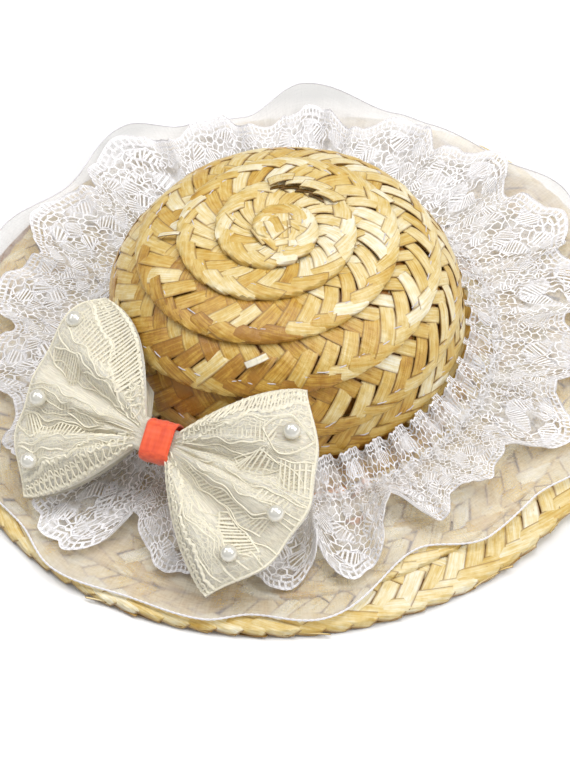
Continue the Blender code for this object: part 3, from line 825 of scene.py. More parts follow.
shell_reaches = np.array([79.5, 74, 68, 62, 56, 50, 44, 38, 31, 24, 16, 8, 2]) * MM
crown_shell = pulled_form("crown_shell", dome_rings(-SHELL_DROP, shell_reaches))
wall = crown_shell.modifiers.new("wall", "SOLIDIFY")
wall.thickness = SHELL_THICKNESS
wall.offset = -1
apply_modifiers(crown_shell)
give_maps(crown_shell, straw_in_shade, 0.3)
print("crown shell:", len(crown_shell.data.polygons), "faces")


# %% Crown strips inside
def inside_of_crown(along, inward, rise):
    _, edge, angle = on_coil(CROWN_TRACK, CROWN_START, along)
    return crown_surface(edge - inward, angle, -LINING_DROP - rise)


def backing_courses(track, seed, least):
    batches = []
    for order, cells in enumerate(plait_courses(track, seed, 0.0)):
        if order == 0:
            cells["inward"] = cells["inward"] + 0.9 * MM
            cells["turn"] = cells["turn"] * 0.5
        cells["top"] = cells["top"] * 0.6
        cells["dive"] = cells["dive"] * 0.5
        keep = cells["inward"] < edge_at(track, cells["along"]) - least
        keep &= cells["inward"] < 12 * MM
        batches.append((THIN_STRIP, keep_cells(cells, keep)))
    return batches


crown_lining = woven_mesh(
    "crown_lining", backing_courses(CROWN_TRACK, 41, 1.2 * MM), inside_of_crown, straw, facing=-1
)
for piece in (crown_plait, crown_middle, crown_shell, crown_lining):
    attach(piece, "root")
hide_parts("crown")

# %% [markdown]
# ## The brim
#
# The brim is the same plait, sewn on flat. Its last turn is the one that shows at the front, and
# its folded edge is the edge of the hat, so those strips are bent round the whole thickness.

# %% Brim strips above
BRIM_EDGE_STRIPS = {"fold": 0.9 * MM, "half_length": 6.6 * MM, "skew": -1.7 * MM, "pitch": 0.028}


def brim_courses():
    batches = []
    for cells in plait_courses(BRIM_TRACK, 71, 0.5 * MM):
        edge = edge_at(BRIM_TRACK, cells["along"])
        outermost = (edge > 98.5 * MM) & (cells["fold"] > 0)
        for key, value in BRIM_EDGE_STRIPS.items():
            cells[key] = np.where(outermost, value, cells[key])
        cells["turn"] = np.where(outermost, cells["turn"] * 0.85, cells["turn"])
        cells["tone"] = np.minimum(cells["tone"] + 0.12, 0.9)
        # The narrow ring at the foot of the crown is made dark with painted shade, where it lies deep
        # between the crown and the lace
        cells["tone"] = np.where(edge - cells["inward"] < 56.5 * MM, 0.20, cells["tone"])
        keep = cells["inward"] < edge - BRIM_INNER_RADIUS - 1.0 * MM
        batches.append((STRIP, keep_cells(cells, keep)))
    return batches


brim_plait = woven_mesh("brim_plait", brim_courses(), on_brim_plait, straw)


# %% Brim shell
def brim_rings():
    """The shell's rings, out over its top and back along its underside."""
    above = np.array([48, 60, 74, 88, 98.3]) * MM
    top = [(r, float(brim_height(r, 0.0, -0.5 * MM))) for r in above]
    under = [(r, float(brim_height(r, 0.0, 0.75 * MM - BRIM_THICKNESS))) for r in above[::-1]]
    return top + under


brim_shell = pulled_form("brim_shell", brim_rings(), closed_ring=True)
for corner in brim_shell.data.vertices:
    radius = math.hypot(corner.co.x, corner.co.y)
    angle = math.atan2(corner.co.y, corner.co.x)
    # The rings already have the wave of angle 0
    corner.co.z += brim_wave(radius, angle) - brim_wave(radius, 0.0)
give_maps(brim_shell, straw_in_shade, 0.3)


# %% Brim strips below
def under_brim(along, inward, rise):
    _, edge, angle = on_coil(BRIM_TRACK, BRIM_START, along)
    height = np.maximum(0.6 * MM - rise, 0.05 * MM) - BRIM_THICKNESS
    return brim_surface(edge - inward, angle, height)


brim_backing = woven_mesh(
    "brim_backing", backing_courses(BRIM_TRACK, 91, BRIM_INNER_RADIUS), under_brim, straw, facing=-1
)
for piece in (brim_plait, brim_shell, brim_backing):
    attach(piece, "root")
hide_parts("brim")
print("brim:", len(brim_plait.data.polygons), "faces above,", len(brim_backing.data.polygons), "below")

# %% [markdown]
# Real straw is never tidy. A pale end sticks out of the crown's front, the start of the coil is lifted
# and leaves a dark slot behind the middle of the top, whose shade is painted on thin strips deep in
# it, a few strips under the lace took up orange dye, and some fibres have come loose at the edge of the
# brim.

# %% Stray strips
# The ring on which an angle is measured as a distance along
STRAY_RING = 50 * MM


def stray_cells(rows, seed):
    """Strips placed one by one: reach, angle, turn, half length, half width, top and tone."""
    rows = np.array(rows, float)
    count = len(rows)
    cells = loose_cells(count, seed, half_length=1 * MM, half_width=1 * MM)
    cells["along"] = np.radians(rows[:, 1]) * STRAY_RING
    cells["inward"] = -rows[:, 0] * MM
    cells["turn"] = np.radians(rows[:, 2])
    for key, column in (("half_length", 3), ("half_width", 4), ("top", 5)):
        cells[key] = rows[:, column] * MM
    cells["tone"] = rows[:, 6]
    cells["dive"] = np.full(count, 0.3 * MM)
    return cells


def at_crown(along, inward, rise):
    return crown_surface(-inward, along / STRAY_RING, rise)


def at_brim(along, inward, rise):
    return brim_surface(-inward, along / STRAY_RING, rise)


loose = [
    (42.6, -64.1, 22, 3.9, 1.0, 1.15, 1.0),
    (33.0, 60, 20, 5.0, 1.2, 0.9, 0.9),
    (30, -150, 70, 3.6, 1.0, 1.2, 0.8),
]
start = [
    (18.6, 72 + 16 * n, 8, 9.5, 2.3, 1.55 + 0.1 * (n % 2), 0.62 + 0.1 * (n % 3)) for n in range(4)
]
start_cells = stray_cells(start, 8)
start_cells["roll"] = np.full(len(start), 0.2)
loose_strips = [(STRIP, stray_cells(loose, 7)), (STRIP, start_cells)]
crown_loose = woven_mesh("crown_loose", loose_strips, at_crown, straw, facing=-1)

# Thin strips deep in the slot, coloured dark brown: painted shade of the slot under the lifted strips
dark = [(15.8, angle, 4, 8.0, 0.5, 0.75, -0.3) for angle in (78, 94, 110, 122)]
slot_shade_straw = straw_finish("straw painted with the slot's shade", (0.42, 0.45, 0.55))
crown_slot_shade = woven_mesh("crown_slot_shade", [(STRIP, stray_cells(dark, 9))], at_crown, slot_shade_straw, facing=-1)

dyed_places = ((55, -46, 45, 0.5), (58.5, -41, -45, 0.6), (61, -37, 45, 0.5), (63.5, -43, -45, 0.45))
dyed = [(reach, angle, turn, 5.4, 2.3, 0.75, tone) for reach, angle, turn, tone in dyed_places]
orange_straw = straw_finish("straw with orange dye", (1.2, 0.62, 0.22))
brim_dyed = woven_mesh("brim_dyed", [(STRIP, stray_cells(dyed, 12))], at_brim, orange_straw, facing=-1)

random = np.random.default_rng(31)
frayed = []
for middle in (-7.8, -22.9, -88, -112, -54, 33, 150):
    for _ in range(3):
        angle = middle + random.normal(0, 1.4)
        reach = 98.9 + random.normal(0, 0.5)
        turn, half_length = random.uniform(-35, 35), random.uniform(1.6, 3.2)
        frayed.append((reach, angle, turn, half_length, 0.22, -0.5, 0.6))
frayed_strips = [(THIN_STRIP, stray_cells(frayed, 13))]
brim_frayed = woven_mesh("brim_frayed", frayed_strips, at_brim, straw, facing=-1)
for piece in (crown_loose, crown_slot_shade, brim_dyed, brim_frayed):
    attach(piece, "root")
print("stray strips:", len(loose) + len(start) + len(dyed) + len(frayed))

# %% [markdown]
# ## Stitches
#
# The turns of the plait are sewn to each other with a pale thread, just inside the folded edge.
# Each stitch lies on the straw and dives at both ends. One is modelled and the rest are copies.

# %% Model a stitch and lay the copies
def model_stitch():
    bpy.ops.object.select_all(action="DESELECT")
    bpy.ops.mesh.primitive_cylinder_add(vertices=6, radius=1, depth=2, rotation=(0, math.pi / 2, 0))
    stitch = bpy.context.object
    bpy.ops.object.transform_apply(rotation=True)
    bpy.ops.object.mode_set(mode="EDIT")
    bpy.ops.mesh.select_all(action="SELECT")
    bpy.ops.mesh.bisect(plane_co=(0, 0, 0), plane_no=(1, 0, 0))
    bpy.ops.mesh.select_all(action="SELECT")
    bpy.ops.mesh.normals_make_consistent(inside=False)
    bpy.ops.object.mode_set(mode="OBJECT")
    return stitch


STITCH = take_form(model_stitch())


STITCH_PITCH = 5.2 * MM
STITCH_HALF_LENGTH = 2.1 * MM


def sewn_line(name, track, place, material, seed, most=1.0):
    """Stitches along a coil, as far out as the most that is given."""
    random = np.random.default_rng(seed)
    count = int(track["length"][-1] / STITCH_PITCH)
    along = np.arange(count) * STITCH_PITCH + random.normal(0, 0.4, count) * MM
    inward = 4.5 * MM + random.normal(0, 0.3, count) * MM
    keep = (inward < edge_at(track, along) - 2 * MM) & (edge_at(track, along) < most)
    keep &= random.random(count) > 0.2
    along, inward = along[keep], inward[keep]
    slant = random.normal(0.1, 0.16, len(along))
    x, y, z = (STITCH[0][:, n][None, :] for n in range(3))
    s = x * STITCH_HALF_LENGTH
    points = place(
        along[:, None] + s,
        inward[:, None] + s * slant[:, None] + y * 0.17 * MM,
        0.50 * MM + z * 0.15 * MM - x**2 * 0.4 * MM,
    )
    copies, each = points.shape[:2]
    faces = repeat_faces(STITCH[1], each, copies)
    return finished_mesh(name, points.reshape(-1, 3), faces, material)


sewing_thread, _ = material_and_shader("pale sewing thread", (0.60, 0.56, 0.58), 0.55, SOFT)
crown_stitches = sewn_line("crown_stitches", CROWN_TRACK, on_crown_plait, sewing_thread, 3)
brim_stitches = sewn_line("brim_stitches", BRIM_TRACK, on_brim_plait, sewing_thread, 4, most=88 * MM)
for piece in (crown_stitches, brim_stitches):
    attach(piece, "root")
print("stitch faces:", len(crown_stitches.data.polygons) + len(brim_stitches.data.polygons))

# %% [markdown]
# ## The organza ruffle
#
# Organza is a very thin, stiff weave that scatters a little light and lets most of it through.
# It is made here as one sheet, laid out from the gathered seam to its wavy free edge. Its weave
# is a pattern in the opacity, and its rolled hem is a real thread that follows the edge.

# %% Organza surface
ORGANZA_GATHERS = 83
ORGANZA_FOLDS = 31
# Length and width of the cloth on the map of its weave, in millimetres
WEAVE_LENGTH = 600
WEAVE_WIDTH = 39


def organza_height(radius, degrees):
    reach = round_table(ORGANZA_EDGE, degrees, 1) * MM
    lift = round_table(ORGANZA_EDGE, degrees, 2) * MM
    share = np.clip((radius - ORGANZA_INNER_RADIUS) / (reach - ORGANZA_INNER_RADIUS), 0, 1)
    return brim_height(radius, np.radians(degrees), LAP) + GAP + lift * share**2


def organza_surface(share, degrees, rise):
    """Points of the organza: share 0 at the seam and 1 at the free edge."""
    reach = round_table(ORGANZA_EDGE, degrees, 1) * MM
    radius = ORGANZA_INNER_RADIUS + share * (reach - ORGANZA_INNER_RADIUS)
    turn = np.radians(degrees)
    gathers = 0.5 + 0.5 * np.sin(turn * ORGANZA_GATHERS + 2.1 * np.sin(turn * 17))
    folds = 0.5 + 0.5 * np.sin(turn * ORGANZA_FOLDS + 1.6 * np.sin(turn * 9 + 1))
    height = organza_height(radius, degrees) + 0.25 * MM + rise
    height = height + gathers * 0.5 * MM * (1 - share) ** 2 + folds * 0.9 * MM * np.sin(np.pi * share)
    return np.stack([radius * np.cos(turn), radius * np.sin(turn), height], axis=-1)


def grid_faces(rows, columns, round_rows=False, round_columns=True, turned=False):
    """The faces of a grid of points, row by row, which may close on itself either way."""
    faces = []
    for row in range(rows if round_rows else rows - 1):
        low, high = row * columns, (row + 1) % rows * columns
        for n in range(columns if round_columns else columns - 1):
            after = (n + 1) % columns
            faces.append((low + n, low + after, high + after, high + n))
    return [face[:1] + face[:0:-1] for face in faces] if turned else faces


def round_cloth(name, columns, lines, surface, material):
    """A sheet that closes on itself, with a map in millimetres for its weave."""
    around = np.linspace(0, 360, columns, endpoint=False)
    grid_line, grid_angle = np.meshgrid(lines, around, indexing="ij")
    points = surface(grid_line, grid_angle, 0.0).reshape(-1, 3)
    thing = finished_mesh(name, points, grid_faces(len(lines), columns, turned=True), material)
    layer = thing.data.uv_layers.new(name="weave")
    for face in thing.data.polygons:
        row, n = divmod(face.index, columns)
        corners = [(n, row), (n, row + 1), (n + 1, row + 1), (n + 1, row)]
        for loop, (column, line) in zip(face.loop_indices, corners):
            layer.data[loop].uv = (column / columns * WEAVE_LENGTH, float(lines[line]) * WEAVE_WIDTH)
    return thing


# %% Organza finish
def organza_finish():
    material, shader = material_and_shader("sheer organza", (0.93, 0.905, 0.885), 0.5, SOFT)
    flat = add_node(material, "ShaderNodeUVMap", uv_map="weave")
    # Threads along and across, and slow radial folds where the cloth lies double
    scales = ((0.30, 1.7, 1), (1.7, 0.30, 1), (0.16, 0.022, 1), (0.05, 0.05, 1))
    woven = {"Scale": 1.0, "Detail": 3.0, "Roughness": 0.6}
    threads = [(stretched_noise(material, flat, scale, **woven), "Fac") for scale in scales]
    total = threads[0]
    for thread, weight in zip(threads[1:], (0.8, 1.3, 0.8)):
        total = math_node(material, "MULTIPLY_ADD", thread, weight, total)
    opacity = ranged(material, *total, from_min=1.45, from_max=2.25, to_min=0.17, to_max=0.44)
    # Behind the crown the ruffle stands in close folds, which make it denser
    place = add_node(material, "ShaderNodeTexCoord")
    split = add_node(material, "ShaderNodeSeparateXYZ")
    turned = add_node(material, "ShaderNodeMapping", Rotation=(0, 0, math.radians(-25)))
    link(material, place, "Object", turned, "Vector")
    link(material, turned, "Vector", split, "Vector")
    behind = ranged(material, split, "Y", from_min=0.035, from_max=0.085)
    # Past the brim it hangs free, and is grey in its own shade
    reach = add_node(material, "ShaderNodeVectorMath", operation="LENGTH")
    link(material, place, "Object", reach, "Vector")
    past = ranged(material, reach, "Value", from_min=0.093, from_max=0.102)
    total = opacity, "Result"
    for part, weight in ((behind, 0.36), (past, 0.26)):
        total = math_node(material, "MULTIPLY_ADD", (part, "Result"), weight, total)
    link(material, *total, shader, "Alpha")
    ramp = colour_ramp(material, [(0.0, (0.80, 0.768, 0.738)), (1.0, (0.61, 0.605, 0.595))])
    link(material, past, "Result", ramp, "Fac")
    link(material, ramp, "Color", shader, "Base Color")
    return material


organza = organza_finish()
organza_lines = np.linspace(0, 1, 20)
organza_ruffle = round_cloth("organza_cloth", 540, organza_lines, organza_surface, organza)


# %% Threads that follow a line
def thread_mesh(name, path, radius, material, sides=6, twist=0.0):
    """A round thread along a closed path, thicker and thinner where it is twisted."""
    way = np.roll(path, -1, axis=0) - np.roll(path, 1, axis=0)
    way /= np.linalg.norm(way, axis=1, keepdims=True)
    up = np.array([0.0, 0.0, 1.0])
    side = np.cross(way, up)
    side /= np.linalg.norm(side, axis=1, keepdims=True)
    over = np.cross(side, way)
    turn = np.linspace(0, 2 * np.pi, sides, endpoint=False)
    swell = 1 + twist * np.sin(np.arange(len(path)) * np.pi / 2)
    size = (radius * swell)[:, None, None]
    ring = side[:, None] * np.cos(turn)[None, :, None] + over[:, None] * np.sin(turn)[None, :, None]
    points = (path[:, None] + ring * size).reshape(-1, 3)
    return finished_mesh(name, points, grid_faces(len(path), sides, round_rows=True), material)


white_thread = plain_material("white cotton thread", (0.80, 0.79, 0.83), 0.6)
hem_angles = np.linspace(0, 360, 1500, endpoint=False)
hem_path = organza_surface(np.ones(len(hem_angles)), hem_angles, 0.1 * MM)
# The hem is stretched thinner behind the crown
hem_radius = (0.29 - 0.12 * np.clip(np.cos(np.radians(hem_angles - 115)), 0, 1)) * MM
organza_hem = thread_mesh("organza_hem", hem_path, hem_radius, white_thread, twist=0.22)
for piece in (organza_ruffle, organza_hem):
    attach(piece, "root")
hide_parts("organza_ruffle")
print("organza:", len(organza_ruffle.data.polygons), "faces")

# %% [markdown]
# ## Drawing lace
#
# Lace is drawn flat, as threads on paper: a net of six-sided meshes, leaves and flowers with
# hatched insides, and a ladder along each edge. The drawing is then laid on the ruffle's surface,
# so the net closes up in the folds by itself, as real lace does when it is gathered.

# %% Pens for the lace drawing
def new_drawing():
    return {"points": [], "faces": [], "count": 0}


def flat_points(x, y):
    return np.stack([x, y], axis=1)


def draw_bars(drawing, starts, ends, width, rise=0.0):
    """Flat straight threads, each one face."""
    starts, ends = np.asarray(starts, float), np.asarray(ends, float)
    way = ends - starts
    way /= np.linalg.norm(way, axis=1, keepdims=True) + 1e-12
    side = np.stack([-way[:, 1], way[:, 0]], axis=1) * width / 2
    tips = way * width * 0.3
    starts, ends = starts - tips, ends + tips
    corners = np.stack([starts - side, ends - side, ends + side, starts + side], axis=1)
    flat = np.concatenate([corners.reshape(-1, 2), np.full((len(starts) * 4, 1), rise)], axis=1)
    drawing["points"].append(flat)
    base = drawing["count"]
    drawing["faces"] += [tuple(range(base + 4 * n, base + 4 * n + 4)) for n in range(len(starts))]
    drawing["count"] += len(flat)


def draw_line(drawing, line, width, ridge, closed=False, rise=0.0):
    """A thicker thread along a line, raised in its middle."""
    line = np.asarray(line, float)
    after, before = np.roll(line, -1, axis=0), np.roll(line, 1, axis=0)
    if not closed:
        after[-1], before[0] = line[-1], line[0]
    way = after - before
    way /= np.linalg.norm(way, axis=1, keepdims=True) + 1e-12
    side = np.stack([-way[:, 1], way[:, 0]], axis=1) * width / 2
    rows = [(line - side, rise), (line, rise + ridge), (line + side, rise)]
    flat = [np.concatenate([place, np.full((len(line), 1), z)], axis=1) for place, z in rows]
    flat = np.stack(flat, axis=1)
    drawing["points"].append(flat.reshape(-1, 3))
    base, count = drawing["count"], len(line)
    for n in range(count if closed else count - 1):
        low, high = base + n * 3, base + (n + 1) % count * 3
        drawing["faces"] += [(low, high, high + 1, low + 1), (low + 1, high + 1, high + 2, low + 2)]
    drawing["count"] += count * 3


def lay_drawing(name, drawing, surface, material):
    """Lays a flat drawing on a surface and raises each point along the surface's normal."""
    flat = np.concatenate(drawing["points"])
    place = surface(flat[:, 0], flat[:, 1])
    ahead = surface(flat[:, 0] + 0.2, flat[:, 1]) - surface(flat[:, 0] - 0.2, flat[:, 1])
    across = surface(flat[:, 0], flat[:, 1] + 0.2) - surface(flat[:, 0], flat[:, 1] - 0.2)
    normal = np.cross(ahead, across)
    normal /= np.linalg.norm(normal, axis=1, keepdims=True) + 1e-12
    points = place + normal * flat[:, 2:3] * MM
    return finished_mesh(name, points, drawing["faces"], material, flat[:, :2], map_name="lace")


# %% Net, leaves and flowers
def net_edges(long, low, high, mesh_size):
    """Edges of a six-sided net over a strip of cloth."""
    side = mesh_size / math.sqrt(3)
    columns = int(round(long / mesh_size)) * 2
    step = long / columns
    rows = int((high - low) / (1.5 * side)) + 1
    i, j = np.meshgrid(np.arange(columns + 1), np.arange(rows + 1), indexing="ij")
    x = i * step
    y = low + j * 1.5 * side + np.where((i + j) % 2 == 0, side / 2, 0.0)
    slanted = [np.stack([x[:-1], y[:-1]], -1).reshape(-1, 2), np.stack([x[1:], y[1:]], -1).reshape(-1, 2)]
    upright = (i[:-1, :-1] + j[:-1, :-1]) % 2 == 0
    foot = np.stack([x[:-1, :-1][upright], y[:-1, :-1][upright]], -1)
    head = np.stack([x[:-1, 1:][upright], y[:-1, 1:][upright]], -1)
    return np.concatenate([slanted[0], foot]), np.concatenate([slanted[1], head])


def leaf_half(t, width):
    """Half the width of a leaf at a share of its length."""
    return width / 2 * np.sin(np.pi * t**0.8) ** 0.85


def in_leaf(x, y, turn, along, aside):
    """Points of a leaf that starts at (x, y) and points along turn."""
    cos, sin = math.cos(turn), math.sin(turn)
    return flat_points(x + along * cos - aside * sin, y + along * sin + aside * cos)


def leaf_outline(x, y, turn, length, width, steps=9):
    t = np.linspace(0, 1, steps)
    half = leaf_half(t, width)
    along = np.concatenate([t, t[-2:0:-1]]) * length
    return in_leaf(x, y, turn, along, np.concatenate([half, -half[-2:0:-1]]))


def draw_leaf(drawing, x, y, turn, length, width, pen, spacing=0.95, slant=0.0):
    """A leaf's outline, and the hatching that fills it."""
    draw_line(drawing, leaf_outline(x, y, turn, length, width), pen, pen * 0.45, closed=True, rise=0.12)
    t = np.arange(spacing, length - spacing * 0.6, spacing) / length
    half = leaf_half(t, width)
    starts = in_leaf(x, y, turn, t * length - slant * half, -half)
    ends = in_leaf(x, y, turn, t * length + slant * half, half)
    draw_bars(drawing, starts, ends, pen * 0.75, rise=0.08)


def outside_leaves(starts, ends, leaves):
    """True for net edges whose middle lies in no leaf."""
    middle = (starts + ends) / 2
    keep = np.ones(len(middle), bool)
    for x, y, turn, length, width in leaves:
        cos, sin = math.cos(turn), math.sin(turn)
        dx, dy = middle[:, 0] - x, middle[:, 1] - y
        along = (dx * cos + dy * sin) / length - 0.5
        aside = (dy * cos - dx * sin) / width
        keep &= (along**2 + aside**2) > 0.25
    return keep


# %% [markdown]
# ## The white lace ruffle
#
# The lace is a strip a little under forty millimetres wide. It is sewn down along a line ten millimetres
# from one edge, so that narrow part stands up as a pleated heading against the crown, and the
# rest lies out over the organza in flutes: drawn in and high at each fold, wide and low between.

# %% Lace surface
LACE_LENGTH = 700.0
LACE_BODY = 27.5
LACE_HEADING = 10.0
HEADING_PLEATS = 44


def lace_edge_rows():
    rows = []
    for fold, fold_reach, crest, crest_reach in LACE_FLUTES:
        for angle, reach in ((fold, fold_reach), (crest, crest_reach)):
            # The flutes stand higher where the bow doesn't lie on them
            free = 1.0 if -135 < angle < -45 else 1.55
            # Behind the crown the lace was pulled further out, most of all at the back left
            behind = 8.5 * bell(degrees_from(108, angle), 85) + 6.0 * bell(degrees_from(163, angle), 28)
            rows.append((angle, reach + behind, 0.5 + 0.26 * free * max(0.0, 88 - reach)))
    return np.array(rows, float)


LACE_EDGE = lace_edge_rows()


def flute_phase(degrees):
    """Whole numbers at the folds and halves at the crests, and the flute's width there."""
    first = LACE_EDGE[0][0]
    at = np.append(LACE_EDGE[:, 0] - first, 360)
    turned = (degrees - first) % 360
    phase = np.interp(turned, at, np.arange(len(at)) / 2)
    folds = at[::2]
    number = np.clip(np.searchsorted(folds, turned, side="right") - 1, 0, len(folds) - 2)
    return phase, folds[number + 1] - folds[number]


def lace_floor(radius, degrees):
    reach = round_table(ORGANZA_EDGE, degrees, 1) * MM
    return organza_height(np.minimum(radius, reach), degrees) + CLOTH_THICKNESS + GAP


def lace_surface(along, across):
    """Points of the lace: along its length, and across from its seam, in millimetres."""
    degrees = 360 * along / LACE_LENGTH - 172
    body = np.clip(across / LACE_BODY, 0, 1.1)
    heading = np.clip(-across / LACE_HEADING, 0, 1.2)
    reach = round_table(LACE_EDGE, degrees, 1) * MM
    lift = round_table(LACE_EDGE, degrees, 2) * MM
    phase, width = flute_phase(degrees)
    # Some flutes are pinched at their fold, others come to a point at their crest
    once = 2 * np.pi * along / LACE_LENGTH
    pull = 0.25 + 0.65 * np.sin(5 * once + 0.7) * np.sin(2 * once)
    swing = -pull * width / (2 * np.pi) * np.sin(2 * np.pi * phase) * body**1.1
    gather = np.sin(2 * np.pi * along / 6.25 + 1.7 * np.sin(along / 11.0))
    ripple = np.sin(2 * np.pi * along / 12.0 + 2.2 * np.sin(along / 23.0))
    laid = degrees + swing
    crumple = np.sin(2 * np.pi * along / 5.4 + 1.3 * np.sin(along / 7.0) + across / 5.0)
    radius = SEAM_RADIUS + body * (reach - SEAM_RADIUS) + 0.6 * MM * ripple * body
    height = lace_floor(radius, laid) + lift * body + 0.45 * MM
    height = height + gather * 0.55 * MM * (1 - np.clip(body, 0, 1)) ** 2
    height = height + (ripple * 0.75 + crumple * 0.25) * MM * body
    # The heading stands in even pleats, and its top is notched between them
    pleat = np.sin(HEADING_PLEATS * once)
    pleat = np.sign(pleat) * np.abs(pleat) ** 0.4 * 0.95 * MM
    stand_radius = SEAM_RADIUS - heading * (SEAM_RADIUS - HEADER_TOP_RADIUS) + pleat * heading
    stand = lace_floor(SEAM_RADIUS, degrees) + 0.45 * MM
    notch = np.clip(np.cos(HEADING_PLEATS * once) - 0.75, 0, 0.25) * 4
    stand_height = stand + heading * (1 - 0.35 * notch) * (HEADER_TOP_HEIGHT - stand) + pleat * heading / 2
    up = across < 0
    # The heading leans in against the foot of the crown
    least = np.minimum(crown_radius_at(stand_height) + 1.0 * MM, stand_radius + 0.35 * MM)
    stand_radius = np.maximum(stand_radius - 1.3 * MM * heading, least)
    radius = np.where(up, stand_radius, radius)
    height = np.where(up, stand_height + gather * 0.4 * MM * (1 - heading), height)
    turn = np.radians(np.where(up, degrees, laid))
    return np.stack([radius * np.cos(turn), radius * np.sin(turn), height], axis=-1)


def uneven_lace(along, across):
    """The same surface for the threads, whose meshes gathering has pulled out of shape."""
    x = 2 * np.pi * along / LACE_LENGTH
    free = np.clip(np.minimum(across + 8, 24 - across) / 5, 0, 1)
    aside = 0.45 * np.sin(97 * x + 1.1 * across) + 0.4 * np.sin(41 * x - 0.7 * across + 2)
    out = 0.5 * np.sin(83 * x + 1.7 * np.sin(0.5 * across)) + 0.4 * np.sin(151 * x + 0.4 * across)
    return lace_surface(along + aside * free, across + out * free)


# %% Draw the ruffle lace
def hem_line(along):
    return 26.2 + 1.2 * np.abs(np.sin(np.pi * along / 10.9375)) ** 0.8


def heading_line(along):
    return -9.4 - 0.55 * np.abs(np.sin(np.pi * along / 3.125)) ** 0.8


def ruffle_lace():
    drawing = new_drawing()
    leaves = []
    repeats = 20
    pitch = LACE_LENGTH / repeats
    for n in range(repeats):
        x = (n + 0.5) * pitch
        for k in range(5):
            turn = math.radians(90 + 72 * k)
            leaves.append((x + 1.6 * math.cos(turn), 14.5 + 1.6 * math.sin(turn), turn, 6.6, 4.6))
        for side in (-1, 1):
            leaves.append((x + side * 17.0, 7.5, math.radians(90 - side * 38), 11.5, 5.0))
            leaves.append((x + side * 16.6, 19.0, math.radians(90 + side * 62), 8.5, 4.2))
            leaves.append((x + side * 8.6, 3.0, math.radians(90 - side * 25), 6.4, 3.2))
            leaves.append((x + side * 4.4, -5.0, math.radians(90 + side * 90), 6.6, 4.4))
        leaves.append((x + 15.8, -5.0, 0.0, 5.0, 4.4))
    starts, ends = net_edges(LACE_LENGTH, -9.6, 25.6, 2.5)
    middle = (starts + ends) / 2
    keep = outside_leaves(starts, ends, leaves)
    # Patches of wavy threads between every second pair of flowers take the net's place
    patch = np.abs((middle[:, 0] - pitch) % (2 * pitch) - pitch) < 6.2
    keep &= ~(patch & (middle[:, 1] > 6) & (middle[:, 1] < 21))
    climb = np.arange(6.0, 22.0, 0.6)
    for n in range(0, repeats, 2):
        for x in np.arange(-5.6, 5.7, 1.4):
            sway = 0.45 * np.sin(2 * np.pi * climb / 3.1 + 0.5 * x) + 0.05 * x * (climb - 14) / 4
            draw_line(drawing, flat_points(n * pitch + x + sway + 6.3, climb), 0.42, 0.2, rise=0.06)
    keep &= middle[:, 1] < hem_line(middle[:, 0]) - 2.3
    keep &= middle[:, 1] > heading_line(middle[:, 0]) + 1.6
    draw_bars(drawing, starts[keep], ends[keep], 0.40)
    for leaf in leaves:
        draw_leaf(drawing, *leaf, pen=0.62)
    # Ladder along the scalloped hem, and a narrower one along the heading
    steps = np.arange(0, LACE_LENGTH + 0.01, 0.9)
    hem_cords = ((0, 1.05, 0.45, 0.10), (2.1, 0.75, 0.3, 0.08), (3.6, 0.55, 0.25, 0.08))
    for inside, pen, ridge, rise in hem_cords:
        draw_line(drawing, flat_points(steps, hem_line(steps) - inside), pen, ridge, rise=rise)
    rungs = np.arange(0.5, LACE_LENGTH, 1.35)
    rung_ends = flat_points(rungs + 0.35, hem_line(rungs))
    draw_bars(drawing, flat_points(rungs, hem_line(rungs) - 2.1), rung_ends, 0.5, rise=0.06)
    for inside, pen, ridge, rise in ((0, 0.6, 0.25, 0.10), (1.5, 0.4, 0.2, 0.08)):
        draw_line(drawing, flat_points(steps, heading_line(steps) + inside), pen, ridge, rise=rise)
    rung_ends = flat_points(rungs + 0.3, heading_line(rungs) + 1.5)
    draw_bars(drawing, flat_points(rungs, heading_line(rungs)), rung_ends, 0.38, rise=0.06)
    # The gathering threads at the seam
    for across in (-1.1, 0.1, 1.2):
        seam = flat_points(steps, across + 0.15 * np.sin(steps * 1.9))
        draw_line(drawing, seam, 0.5, 0.25, rise=0.15)
    # A meandering outline between the flowers and the hem
    meander = flat_points(steps, 21.6 + 1.2 * np.sin(steps * 2 * np.pi / 17.5))
    draw_line(drawing, meander, 0.5, 0.2, rise=0.1)
    return drawing


# %% Lace finish
def thread_finish(name, colour, warmth):
    """Soft cotton thread with a fine twist that follows the lace's own map."""
    cotton = {"Sheen Weight": 0.35, "Sheen Roughness": 0.5}
    material, shader = material_and_shader(name, colour, 0.75, cotton)
    flat = add_node(material, "ShaderNodeUVMap", uv_map="lace")
    twist = add_node(material, "ShaderNodeTexNoise", Scale=1.9, Detail=3.0)
    link(material, flat, "UV", twist, "Vector")
    ramp = colour_ramp(material, [(0.35, tinted(colour, warmth)), (0.6, colour)])
    link(material, twist, "Fac", ramp, "Fac")
    link(material, ramp, "Color", shader, "Base Color")
    bump = bumped(material, twist, "Fac", 0.5, 0.0001)
    link(material, bump, "Normal", shader, "Normal")
    return material


white_lace = thread_finish("white lace thread", (0.92, 0.91, 0.92), (0.94, 0.93, 0.94))
ruffle_drawing = ruffle_lace()
lace_ruffle = lay_drawing("lace_net", ruffle_drawing, uneven_lace, white_lace)
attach(lace_ruffle, "root")
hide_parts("lace_ruffle")


def fine_net(name, columns, rows):
    """The finest threads between the drawn ones, too small to draw, as one thin veil."""
    along = np.linspace(0, LACE_LENGTH, columns, endpoint=False)
    points, maps = [], []
    for share in np.linspace(0, 1, rows):
        across = heading_line(along) + 0.3 + share * (hem_line(along) - 0.6 - heading_line(along))
        points.append(lace_surface(along, across) - np.array([0, 0, 0.05 * MM]))
        maps.append(flat_points(along, across))
    points, maps = np.concatenate(points), np.concatenate(maps)
    return finished_mesh(name, points, grid_faces(rows, columns), veil_finish(), maps, map_name="lace")


